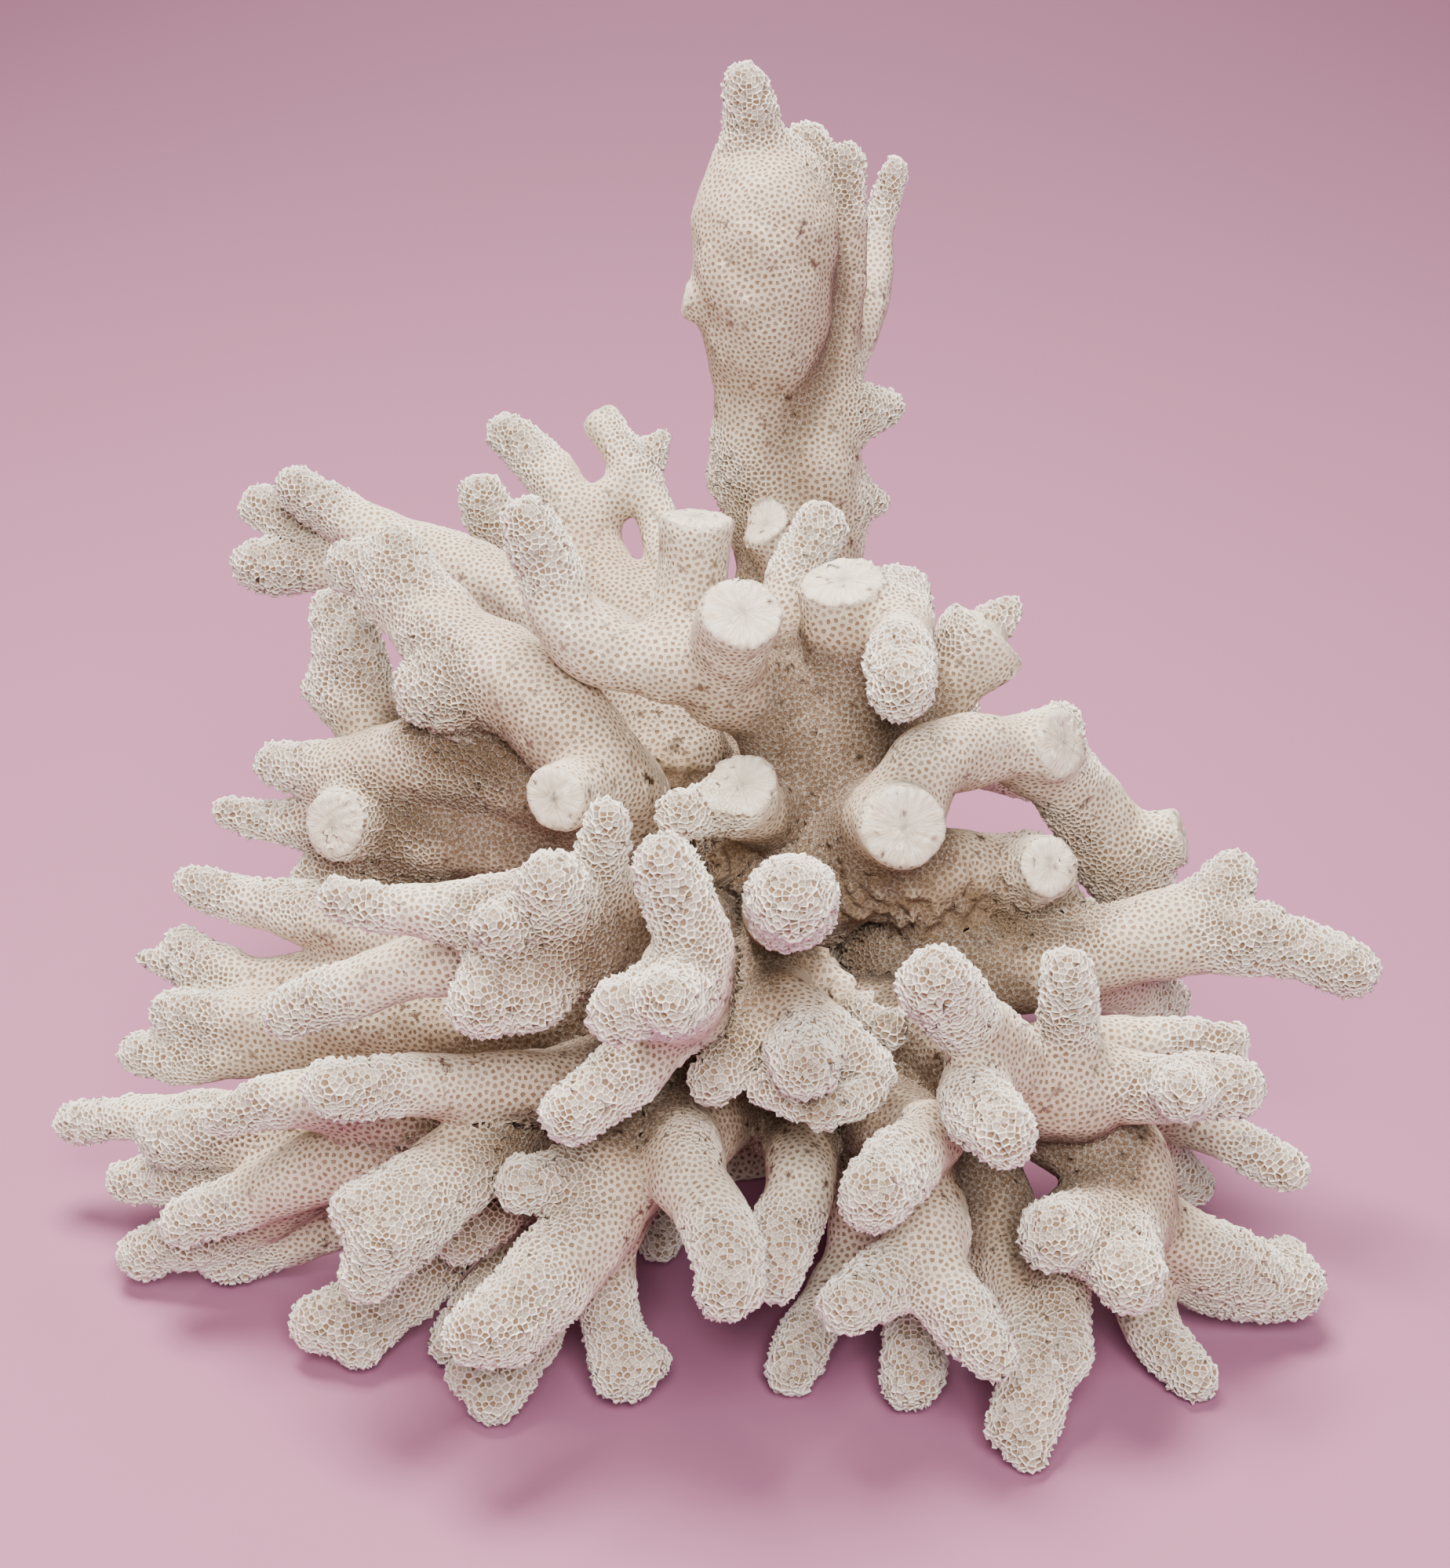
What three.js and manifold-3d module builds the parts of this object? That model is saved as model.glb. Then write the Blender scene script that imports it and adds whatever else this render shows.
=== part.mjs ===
// A bleached colony of cat's-paw coral, about 19 cm across: a short holdfast cut flat where it was
// lifted from the reef, and the boughs that fan out from it and fork into blunt fingers.
// Millimetres, +Z up. The origin is the centre of the flat cut, which is the face it stands on.
import * as THREE from 'three';
import { mergeVertices } from 'three/addons/utils/BufferGeometryUtils.js';
import Module from 'manifold-3d';

const SIDES = 5; // flats round a finger
const ROUND_FIT = 1.08; // the section is this much larger than its finger, to hold the same volume
const RING_STEP = 28; // distance along a finger from one ring of flats to the next
const TIP_SHOULDER = 0.86; // width of a rounded tip near its end, as a share of the finger's radius
const TIP_SHOULDER_AT = 0.35; // how far out that width lies, as a share of the same radius
const GAP = 0.3; // clear distance between one bough and the next

const LEAN = THREE.MathUtils.degToRad(25); // the colony grew leaning back by this angle
const HEART_HEIGHT = 65; // height of the point that the fingers fan out from
const HEART_BACK = -8; // how far that point lies in front of the holdfast's centre
const CUT_DEPTH = 60; // how far the removed stone and stumps reach below the cut
const CUT_WIDTH = 400; // how far the plane of the cut is taken, well past every finger
const NEARLY_LEVEL = 0.9; // share of a limb's direction along x past which its rings start from z

const SKELETON = { color: 0xe9e0d3, roughness: 0.88, metalness: 0 };

// Each limb is the centre line of one finger: points of [x, y, z, radius], root first.
// A finger ends in a round tip and a stub ends in the flat face where a finger was broken off.
const finger = (...points) => ({ points, tip: 'round' });
const stub = (...points) => ({ points, tip: 'flat' });

// The holdfast and the boughs behind it are given upright, in the part's own frame.
const HOLDFAST = [
  stub([3, -8, 34, 14], [1, -3, 16, 15], [0, 0, 2, 18], [0, 0, -6, 20]),
  finger([2, 22, 54, 12], [5, 4, 51, 15], [5, -10, 45, 14.5], [4, -26, 39, 12.5], [2, -36, 35, 10]),
  finger([4, -10, 42, 14], [-8, -14, 42, 12]),
  finger([4, -10, 42, 14], [14, -14, 40, 12]),
];

const REAR_CENTRE_BOUGH = [
  finger([4, 0, 38, 11], [2, 22, 42, 8.5], [-4, 40, 44, 7.5], [-8, 54, 48, 6], [-10, 66, 52, 4.4]),
  finger([-2, 36, 43, 6.5], [6, 52, 38, 5.4], [12, 64, 34, 4.2]),
  finger([-3, 36, 42, 6], [-16, 50, 34, 5], [-22, 60, 28, 4]),
  finger([-1, 32, 45, 5.5], [4, 42, 57, 4.2], [6, 46, 65, 3.6]),
];

const REAR_RIGHT_BOUGH = [
  finger([6, -4, 34, 11], [24, 12, 30, 8.5], [38, 22, 24, 7.4], [52, 30, 20, 6.2], [64, 36, 18, 4.4]),
  finger([36, 20, 24, 6.5], [42, 38, 18, 5.2], [46, 52, 12, 4]),
  finger([48, 28, 21, 6], [64, 27, 10, 4.8], [76, 28, 6, 3.6]),
  finger([22, 10, 30, 6.5], [28, 30, 16, 5.4], [30, 44, 6, 4.2]),
];

const REAR_LEFT_LOW_BOUGH = [
  finger([-2, -4, 32, 11], [-24, 12, 30, 8.5], [-40, 24, 24, 7], [-54, 34, 20, 5.6], [-66, 42, 18, 4.2]),
  finger([-38, 22, 25, 6], [-44, 40, 20, 5], [-48, 54, 14, 4]),
  finger([-50, 31, 21, 5.5], [-68, 32, 10, 4.4], [-80, 34, 6, 3.4]),
  finger([-22, 10, 30, 6.5], [-24, 30, 16, 5.4], [-22, 44, 6, 4.2]),
];

const REAR_LOW_BOUGH = [
  finger([0, 2, 20, 10], [0, 16, 14, 8], [-2, 32, 8, 5.6], [-4, 46, 3.6, 4]),
  finger([0, 18, 13, 6], [12, 34, 8, 4.4], [17, 45, 4, 3.8]),
];

const REAR_UPPER_RIGHT_BOUGH = [
  finger([6, -2, 46, 10], [24, 16, 56, 7.5], [34, 26, 60, 6], [38, 36, 60, 4.5]),
  finger([26, 18, 57, 6], [24, 36, 50, 5], [26, 50, 46, 4]),
  finger([31, 23, 59, 5.5], [46, 30, 50, 4.5], [54, 38, 44, 3.6]),
];

const REAR_LEFT_MID_BOUGH = [
  finger([0, 0, 42, 10], [-20, 20, 49, 7.5], [-34, 34, 49, 6], [-44, 42, 46, 4.4]),
  finger([-22, 22, 49, 6], [-21, 40, 52, 5], [-22, 54, 55, 3.9]),
  finger([-33, 33, 49, 5.5], [-42, 44, 38, 4.6], [-50, 52, 30, 3.8]),
];

// The boughs in front and above are given leaning, about the heart of the colony:
// x to the right, y up along the lean, and z forward and up, square to the lean.
const SPIRE = [
  finger([9, 14, -34, 9], [10, 37, -44, 8.5], [6, 55, -41, 8.2], [6.5, 66, -38, 8.6],
    [6.5, 78, -32, 11.2], [6.5, 90, -30, 12], [6, 98, -30, 8.8], [4.5, 104, -27, 5.4],
    [3.6, 112, -24, 3.7]),
  finger([10, 14, -36, 9], [15, 37, -46, 8.5], [15, 52.5, -41, 8], [14, 66, -41, 7.4],
    [13, 80, -40, 7.6], [13, 92, -38, 7.6], [13, 100.5, -36, 6], [13.6, 104.5, -35, 4.4]),
  finger([18, 70, -44, 5], [22, 77, -49, 4.6], [25, 86, -52, 4.2], [26, 94, -52, 3.4],
    [28.2, 102, -51, 2.6], [29, 104.5, -51, 2.4]),
  stub([13, 33, -40, 6], [10, 38, -37, 5], [6.5, 42.5, -33, 4.4]),
];

const REAR_LEFT_BOUGH = [
  finger([-1, 6, -30, 9], [-8, 19, -35, 8], [-18, 31, -42, 7], [-24, 40, -46, 6], [-27.5, 49, -47, 5],
    [-33, 56, -49, 4.2], [-37, 59.6, -50, 3.6]),
  finger([-24, 36, -45, 6], [-32, 39, -44, 5.6], [-38.5, 44, -42, 4.6], [-40.5, 48, -41, 3.8]),
  stub([-8, 22, -36, 6.5], [-9, 34, -41, 4.8], [-11, 44, -44, 3.8], [-16.4, 54, -46, 3.8],
    [-21.5, 62.5, -48, 3.7]),
  finger([-24, 42, -46, 5.4], [-20.5, 46.5, -46, 4.4], [-15, 52, -46, 3.9], [-12, 56, -46, 2.8],
    [-10.6, 58.5, -46, 1.6]),
];

const LEFT_REAR_BOUGH = [
  finger([-8, 4, -8, 9], [-15, 16, -15, 8], [-30, 28, -28, 7], [-42, 34, -33, 6.4], [-56, 40, -38, 5.2],
    [-64, 44.5, -41, 4.6], [-71, 49.3, -42, 4.1]),
  finger([-30, 26, -32, 6], [-42, 30, -38, 6], [-60, 36, -46, 5], [-68, 40.5, -48, 4.1],
    [-74.5, 44.6, -49, 3.8], [-79, 47.2, -50, 3.6]),
  finger([-58, 35, -44, 5], [-66, 36.4, -46, 4.6], [-74, 36.6, -46, 4.8], [-78.5, 37, -46, 4.4]),
];

const UPPER_LEFT_BOUGH = [
  finger([-8, -24, -6, 8], [-13, -8, 6, 7.4], [-19, 3, 18, 7.6], [-27, 12, 18, 7.6],
    [-37.5, 18.5, 13, 7.2], [-46.5, 26, 8, 5.8], [-52, 31, 5, 5], [-56.5, 32.5, 4, 4.2]),
  finger([-34, 17, 13, 7.5], [-39, 14.5, 14, 6.8], [-44, 13.5, 14, 5]),
  stub([-16, 0, 14, 6.5], [-21, -1, 26, 5.2], [-24, -2, 34, 5]),
];

const RAGGED_BOUGH = [
  finger([-30, 0, -2, 8], [-39, 1, 0, 8], [-51, 6.5, -6, 6.5], [-58, 14.5, -8, 6], [-59, 23, -8, 5],
    [-60.5, 26, -8, 4.2]),
];

const LEFT_SHELF_BOUGH = [
  finger([-8, -18, -4, 8], [-14, -7, 6, 7.4], [-26, 0, 8, 8.2], [-38, 3.5, 6, 8], [-50, 3, 3, 6.5],
    [-60.5, 1.5, -2, 5], [-69, 3.5, -5, 3.6]),
  finger([-10, -16, -4, 7.5], [-19.5, -10, 2, 7], [-32.5, -7, 2, 8], [-45.5, -7, 0, 7.5],
    [-52, -7, -1, 6]),
  stub([-50, -5, -6, 6], [-56, -5.5, 3, 5.6], [-58.4, -6, 9, 5.3]),
  finger([-56, -6, -3, 5], [-66, -6, -7, 4], [-70, -6, -8, 3.5], [-77, -4, -8, 2.7]),
];

const CROWN_BOUGH = [
  finger([14, 2, 6, 10], [12, 5, 10, 9], [3, 15, 18, 6.6], [-7, 17.5, 24, 5.3], [-15, 18, 25, 5],
    [-22, 22, 26, 5], [-25, 29.5, 27, 4.7], [-28, 37, 28, 4]),
  stub([-8, 17, 23, 5.5], [-5, 28, 21, 5.4], [-4, 38.5, 24, 5.7]),
  stub([0, 14, 20, 6.5], [0, 18, 25, 6], [2.5, 24, 37, 6.2]),
];

const UPPER_RIGHT_BOUGH = [
  stub([5, -18, 2, 11], [10, -9, 5, 10.5], [15, 1, 8, 11], [18, 11.5, 10, 11], [18.5, 20, 14, 8.6],
    [17, 29.5, 22, 6]),
  finger([20, 18, 12, 8], [24.5, 24, 16, 5.8], [25, 19, 28, 5], [24.5, 13.5, 36, 4.7]),
  stub([22, 4, 8, 8], [27, 9.5, 6, 7], [32, 14, 5, 6], [39.8, 22.8, 5, 7.4]),
  finger([12, 14, 6, 6], [9, 23.5, 6, 4.8], [10.5, 31, 5, 4.2], [14.5, 39, 3, 3.8]),
];

const HUB_ARM = [
  finger([12, -8, 4, 7], [10, -5, 10, 5.6], [3, -3.2, 22, 4.3], [-6, -4, 30, 3.7]),
  stub([6, -5, 18, 5], [3.5, -3, 24, 5], [2.5, 0, 30.5, 5.3]),
];

const RIGHT_LOOP_BOUGH = [
  finger([10, -14, 4, 10], [18, -10.5, 12, 9], [24.5, -4.5, 24, 6.8], [29.5, 3, 24, 6],
    [37.5, 5, 18, 5.4], [45, 4.5, 12, 5.4], [53, -1.5, 4, 6], [59.5, -11, -2, 6.8], [64, -15, -6, 5.6]),
  stub([24, -5, 22, 6.8], [25, -6, 37, 6.3]),
  stub([44, 4.5, 12, 5.4], [46.5, 5.5, 14, 5.6], [49.5, 6, 17, 5.6]),
  stub([57, -8, -1, 6], [63, -9, -1, 5], [69.5, -7.5, 1, 4.6]),
];

const RIDGE_BOUGH = [
  finger([6, -20, 4, 10], [15, -13, 12, 9], [26, -13, 16, 7], [37, -12.5, 12, 5.6], [47, -14, 7, 5]),
  stub([44, -13.5, 8, 5.4], [47, -12, 20, 4.8]),
  finger([28, -17, 12, 6], [38, -19, 8, 5.6], [50, -20, 4, 5]),
];

const RIGHT_LONG_BOUGH = [
  finger([10, -30, -14, 8], [20, -27.5, -2, 7.2], [28, -26.5, 6, 8], [42, -27, 8, 8], [56, -25, 8, 6.6],
    [67.5, -23, 8, 6.2], [78, -23, 10, 5], [85.5, -25, 12, 4.3], [92.5, -27.5, 14, 4]),
  finger([64, -22, 8, 6], [69, -20.5, 8, 5.4], [74, -16.5, 7, 4.5], [76, -13, 6, 3.3]),
  finger([52, -28, 0, 6], [62, -32, -10, 5], [70, -34.5, -18, 3.8]),
];

const RIGHT_FRONT_BOUGH = [
  finger([4, -34, 0, 9], [14, -35, 8, 7.8], [29, -37, 22, 8], [42, -41.5, 35, 7.5], [49, -43, 36, 7.2],
    [51, -42, 36, 6.2], [59.5, -42, 38, 4.9], [66.5, -42, 40, 4.5], [70, -42, 41, 4.2]),
  finger([44, -42, 36, 6.5], [40.5, -40, 40, 6], [33.5, -33, 50, 5.2], [27.5, -26, 59, 4.9]),
  finger([36, -38, 44, 5.2], [33, -42, 54, 5], [36.5, -45.5, 61, 4.4]),
  finger([48, -42, 37, 6], [48, -39, 38, 5], [47, -32.5, 42, 4.3], [46.5, -26, 45, 3.9]),
  finger([46, -40, 26, 6.5], [56, -37.5, 25, 4.5], [65, -36.5, 25, 3.3], [72, -37, 26, 3]),
  finger([44, -43, 24, 7], [56, -46, 18, 5.5], [67, -49, 12, 4.5], [74, -52, 16, 3.7],
    [82, -56.5, 18, 3.1]),
  finger([48, -46, 16, 6], [58, -51, 4, 5.4], [66, -57, -5, 4.8], [73, -62.5, -8, 3]),
];

const LOWER_RIGHT_BOUGH = [
  finger([28, -38, 12, 9], [45, -45, 24, 8.4], [55.5, -54, 28, 8], [56, -61, 32, 7.4],
    [54, -63, 38, 6.2], [54.5, -66.5, 47, 5.2]),
  finger([54, -59, 32, 7], [51, -61, 38, 6], [44.5, -61.5, 46, 4.9]),
  finger([57, -60, 28, 6.5], [62.5, -64, 26, 6], [70, -68, 26, 5.3], [76, -70.5, 24, 4.7]),
  finger([58, -62, 24, 6.5], [64.5, -68.5, 20, 5.6], [75, -73, 20, 4.9], [82, -72.5, 20, 4.9]),
  finger([57, -64, 26, 6], [59, -70, 25, 5], [61, -77.5, 27, 4.3], [66, -83.5, 33, 3.4]),
  finger([50, -62, 32, 6], [47, -68, 34, 5], [46.5, -74, 38, 4.4], [46.5, -78.5, 42, 4.2]),
];

const FAR_FOOT_BOUGH = [
  finger([20, -38, 6, 9], [31.5, -46, 14, 8], [38.5, -59.5, 20, 5.8], [41, -70, 30, 4.6],
    [42, -80, 42, 4], [41.3, -90.3, 47, 3]),
  finger([38, -66, 22, 5], [36, -77, 27, 3.4]),
];

const RIGHT_FOOT_BOUGH = [
  finger([12, -38, 8, 9], [23, -47, 24, 7.5], [27.5, -57.5, 40, 6], [27, -64, 46, 5.6],
    [24, -66, 48, 5], [16.5, -69, 56, 4.1]),
  finger([27, -62, 45, 5.6], [28, -66, 48, 5], [32, -71.5, 52, 4.5], [35.5, -76, 55, 3.6]),
  finger([24, -48, 30, 6], [28, -48.5, 42, 5], [24, -50.5, 52, 5], [19.5, -53.5, 60, 4.8]),
  finger([26, -56, 30, 6], [27, -71, 30, 4.6], [26, -83, 35, 4.4]),
  finger([22, -52, 18, 6.5], [19, -68.5, 20, 5], [13, -76, 27, 4], [9.3, -82.5, 32, 3.7]),
];

const CENTRE_FOOT_BOUGH = [
  finger([0, -34, 6, 9], [-5, -38, 15, 8.5], [-10.5, -49, 32, 8], [-15.5, -55, 42, 7],
    [-17.5, -60, 46, 6], [-23.5, -66, 52, 6], [-29, -72, 57, 5.2]),
  finger([-14, -51, 36, 6], [-22, -53.5, 46, 4.3], [-27, -54, 50, 3.9]),
  finger([-14, -54, 34, 6.5], [-16.5, -66.5, 32, 4.4], [-16, -75, 33, 4.3], [-14, -81.5, 34, 5]),
  finger([-14, -54, 32, 6.5], [-23, -67, 28, 5], [-28, -77, 34, 4.8], [-32, -85.2, 38, 3.6]),
  finger([-14, -50, 26, 6.5], [-26, -56, 26, 5], [-32.5, -60.5, 29, 4.2], [-37.5, -64.5, 30, 3.6]),
  finger([-18, -56, 22, 6], [-31, -65, 18, 4], [-35.5, -73.5, 23, 3.4], [-39.5, -80.5, 26, 2.8]),
];

const ARCH_BOUGH = [
  finger([4, -34, 6, 9], [-2, -46, 24, 8], [-6, -49.5, 38, 6.5], [-5, -53, 48, 5.6],
    [-0.5, -59.5, 56, 5], [0.5, -66, 60, 4.4]),
  finger([0, -42, 14, 7.5], [9, -50, 16, 5.5], [18, -48, 18, 6]),
  finger([11, -48, 18, 6.5], [10.5, -55, 34, 5.4], [7.7, -63, 40, 4.7], [6.6, -67.5, 42, 4]),
  finger([-2, -44, 12, 7], [-7, -56, 6, 5], [-10, -68, 5, 3.8]),
];

const CENTRE_BOUGH = [
  finger([6, -24, 8, 7.4], [6, -24.5, 25, 5.4], [7.5, -29, 36, 5.4], [10.5, -35, 46, 5.4],
    [10.4, -37.3, 57, 4.5]),
  finger([6.5, -30, 40, 4.6], [2, -35.5, 46, 4], [-1.8, -40, 50, 3.2]),
  finger([11, -33, 44, 5], [16, -36.5, 46, 4.4], [19.7, -39.2, 47, 3.6]),
];

const HEART_FINGER = [
  finger([8, -19, 8, 6], [8, -18, 30, 5.6], [8, -16.5, 55, 5.9], [8.2, -14.5, 76, 5.6]),
];

const CURLED_BOUGH = [
  finger([0, -26, 6, 9], [-2.7, -26.5, 22, 7], [-5, -29, 45, 6.4], [-6, -28, 60, 6], [-4, -22, 67, 5.4],
    [-5.5, -16, 70, 4.6], [-8, -10, 72, 3.9]),
  finger([-5, -25, 64, 6], [-6, -26.5, 71, 5], [-7.2, -27, 77, 4.2]),
  finger([-6, -29, 52, 6], [-10, -34.5, 57, 5], [-14, -38.5, 59, 4.6], [-19.8, -43, 62, 4.1]),
];

const FRONT_LEFT_BOUGH = [
  finger([-3, -24, 6, 8], [-6.5, -21.5, 25, 8.2], [-15.5, -20.5, 42, 9], [-24.5, -21, 52, 8.4],
    [-27.5, -24, 54, 7], [-31.5, -28.5, 60, 4.6]),
  finger([-20, -20, 50, 7.5], [-23, -13.5, 61, 4.9]),
  finger([-15.5, -18, 46, 6.5], [-16.5, -11.5, 55, 3.8], [-15.3, -4.6, 60, 3]),
  finger([-22, -19, 50, 7], [-29.5, -17.5, 54, 5.8], [-38, -17, 56, 4.3], [-45, -16.5, 55, 3.4],
    [-51.5, -15, 54, 3]),
  finger([-22, -23, 46, 7], [-39, -24, 46, 5], [-49.5, -27.5, 44, 4.3], [-60, -31.5, 42, 3.6]),
];

const LEFT_LONG_BOUGH = [
  finger([-2, -36, 10, 9], [-7.5, -40, 22, 8.4], [-18, -43, 32, 7.2], [-31, -42, 40, 5.6],
    [-43, -41, 46, 4.4], [-52.5, -41, 50, 4.1]),
  finger([-18, -43, 26, 7.2], [-34, -47, 26, 6.4], [-49.5, -46, 28, 5.6], [-60.5, -44.5, 29, 4.4],
    [-71, -47, 30, 2.9]),
];

const LEFT_LOW_BOUGH = [
  finger([-10, -40, 8, 8.5], [-30, -48, 16, 7], [-54, -51.5, 18, 5.8], [-68, -52, 17, 5],
    [-82, -51.5, 15, 4.6]),
  finger([-66, -50, 12, 5], [-80, -50, 5, 4], [-99.5, -52, -5, 3.2]),
  finger([-58, -53, 14, 6], [-72.5, -57, 12, 4.8], [-89, -59.5, 8, 3.4]),
  finger([-36, -50, 22, 7], [-46, -53, 25, 6], [-59, -55.5, 24, 5.4], [-69.5, -60, 22, 4.3],
    [-78, -63.5, 22, 3.5]),
  finger([-56, -56, 18, 5.6], [-72, -65, 13, 4.4], [-86.5, -70, 9, 3.8]),
  finger([-44, -56, 14, 6], [-58, -65.5, 10, 4.4], [-75, -70.5, 8, 3.7]),
];

const LEFT_FOOT_BOUGH = [
  finger([-12, -42, 18, 8], [-23, -45, 27, 7], [-33, -50, 38, 6.4], [-41, -56.5, 46, 6.4],
    [-45.5, -60.5, 51, 5.2]),
  finger([-26, -50, 26, 6.5], [-37, -64, 20, 5.6], [-45.5, -71, 24, 5.3], [-53, -75.5, 26, 4.8],
    [-58, -77, 27, 4.1]),
];

const LEFT_FAN_BOUGH = [
  finger([-6, -26, 4, 9], [-14.5, -26, 8, 8.2], [-38, -26, 10, 6.8], [-52, -23, 3, 5.4],
    [-68, -19.5, -4, 4.3], [-82, -15.6, -8, 3.2]),
  finger([-48, -28, 4, 5.8], [-66, -30.5, -4, 4.4], [-77, -29.5, -7, 4], [-84.5, -24.5, -9, 2.6]),
  finger([-8, -34, 4, 9], [-14.5, -35, 10, 8], [-37.5, -35, 13, 6.4], [-58, -35.5, 6, 5.2],
    [-72, -36, 0, 4.8], [-84, -35.5, -3, 4.2]),
  finger([-54, -37, 6, 5], [-70, -40.5, 0, 4.3], [-82, -42, -3, 4], [-90, -41.5, -5, 3.4]),
];

const BOUGHS = [
  { name: 'holdfast', limbs: HOLDFAST, leaning: false },
  { name: 'spire', limbs: SPIRE, leaning: true },
  { name: 'right_front_bough', limbs: RIGHT_FRONT_BOUGH, leaning: true },
  { name: 'front_left_bough', limbs: FRONT_LEFT_BOUGH, leaning: true },
  { name: 'centre_foot_bough', limbs: CENTRE_FOOT_BOUGH, leaning: true },
  { name: 'upper_right_bough', limbs: UPPER_RIGHT_BOUGH, leaning: true },
  { name: 'crown_bough', limbs: CROWN_BOUGH, leaning: true },
  { name: 'upper_left_bough', limbs: UPPER_LEFT_BOUGH, leaning: true },
  { name: 'left_rear_bough', limbs: LEFT_REAR_BOUGH, leaning: true },
  { name: 'rear_left_bough', limbs: REAR_LEFT_BOUGH, leaning: true },
  { name: 'left_shelf_bough', limbs: LEFT_SHELF_BOUGH, leaning: true },
  { name: 'ragged_bough', limbs: RAGGED_BOUGH, leaning: true },
  { name: 'left_fan_bough', limbs: LEFT_FAN_BOUGH, leaning: true },
  { name: 'left_low_bough', limbs: LEFT_LOW_BOUGH, leaning: true },
  { name: 'left_long_bough', limbs: LEFT_LONG_BOUGH, leaning: true },
  { name: 'left_foot_bough', limbs: LEFT_FOOT_BOUGH, leaning: true },
  { name: 'curled_bough', limbs: CURLED_BOUGH, leaning: true },
  { name: 'centre_bough', limbs: CENTRE_BOUGH, leaning: true },
  { name: 'heart_finger', limbs: HEART_FINGER, leaning: true },
  { name: 'hub_arm', limbs: HUB_ARM, leaning: true },
  { name: 'right_loop_bough', limbs: RIGHT_LOOP_BOUGH, leaning: true },
  { name: 'right_long_bough', limbs: RIGHT_LONG_BOUGH, leaning: true },
  { name: 'ridge_bough', limbs: RIDGE_BOUGH, leaning: true },
  { name: 'arch_bough', limbs: ARCH_BOUGH, leaning: true },
  { name: 'right_foot_bough', limbs: RIGHT_FOOT_BOUGH, leaning: true },
  { name: 'lower_right_bough', limbs: LOWER_RIGHT_BOUGH, leaning: true },
  { name: 'far_foot_bough', limbs: FAR_FOOT_BOUGH, leaning: true },
  { name: 'rear_centre_bough', limbs: REAR_CENTRE_BOUGH, leaning: false },
  { name: 'rear_right_bough', limbs: REAR_RIGHT_BOUGH, leaning: false },
  { name: 'rear_left_low_bough', limbs: REAR_LEFT_LOW_BOUGH, leaning: false },
  { name: 'rear_low_bough', limbs: REAR_LOW_BOUGH, leaning: false },
  { name: 'rear_upper_right_bough', limbs: REAR_UPPER_RIGHT_BOUGH, leaning: false },
  { name: 'rear_left_mid_bough', limbs: REAR_LEFT_MID_BOUGH, leaning: false },
];

const wasm = await Module();
wasm.setup();

// Turns a leaning point into the part's upright frame.
function uprightPoint([x, up, forward]) {
  const y = HEART_BACK + up * Math.sin(LEAN) - forward * Math.cos(LEAN);
  const z = HEART_HEIGHT + up * Math.cos(LEAN) + forward * Math.sin(LEAN);
  return new THREE.Vector3(x, y, z);
}

// A smooth line through a limb's points, and its radius anywhere along it.
function limbLine(limb, leaning) {
  const centres = limb.points.map((p) => (leaning ? uprightPoint(p) : new THREE.Vector3(...p.slice(0, 3))));
  const radii = limb.points.map((p) => p[3]);
  const radiusAt = (t) => {
    const place = t * (radii.length - 1);
    const before = Math.min(Math.floor(place), radii.length - 2);
    return THREE.MathUtils.lerp(radii[before], radii[before + 1], place - before);
  };
  return { line: new THREE.CatmullRomCurve3(centres, false, 'centripetal'), radiusAt };
}

// The rings along a limb: a centre, the way the limb runs there, and a radius larger by extra.
function limbRings(limb, leaning, extra) {
  const { line, radiusAt } = limbLine(limb, leaning);
  const steps = Math.max(2, Math.round(line.getLength() / RING_STEP));
  return Array.from({ length: steps + 1 }, (_, i) => {
    const t = line.getUtoTmapping(i / steps);
    const radius = radiusAt(t) * ROUND_FIT + extra;
    return { centre: line.getPoint(t), along: line.getTangent(t), radius };
  });
}

// A ring moved on by some distance along its limb and made narrower or wider.
function ringBeyond(ring, distance, radius) {
  return { centre: ring.centre.clone().addScaledVector(ring.along, distance), along: ring.along, radius };
}

// All the rings of a closed limb. A ring of no radius closes each end.
function closedRings(limb, leaning, extra) {
  const rings = limbRings(limb, leaning, extra);
  const root = ringBeyond(rings[0], -extra, rings[0].radius);
  const last = rings[rings.length - 1];
  const shoulder = ringBeyond(last, last.radius * TIP_SHOULDER_AT, last.radius * TIP_SHOULDER);
  const face = ringBeyond(last, extra, last.radius);
  const tip = limb.tip === 'round'
    ? [shoulder, ringBeyond(last, last.radius, 0)]
    : [face, ringBeyond(face, 0, 0)];
  return [ringBeyond(root, 0, 0), root, ...rings.slice(1, -1), ...tip];
}

// Carries each ring of a lathe to its place on the centre line, without twisting it on the way.
function bendAlong(lathe, rings) {
  const side = new THREE.Vector3(1, 0, 0);
  if (Math.abs(rings[0].along.x) > NEARLY_LEVEL) side.set(0, 0, 1);
  const frames = rings.map((ring) => {
    side.addScaledVector(ring.along, -side.dot(ring.along)).normalize();
    return { across: side.clone(), third: side.clone().cross(ring.along) };
  });
  const position = lathe.attributes.position;
  for (let i = 0; i < position.count; i += 1) {
    const station = Math.round(position.getY(i));
    const place = rings[station].centre.clone();
    place.addScaledVector(frames[station].across, position.getX(i));
    place.addScaledVector(frames[station].third, position.getZ(i));
    position.setXYZ(i, place.x, place.y, place.z);
  }
}

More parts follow.
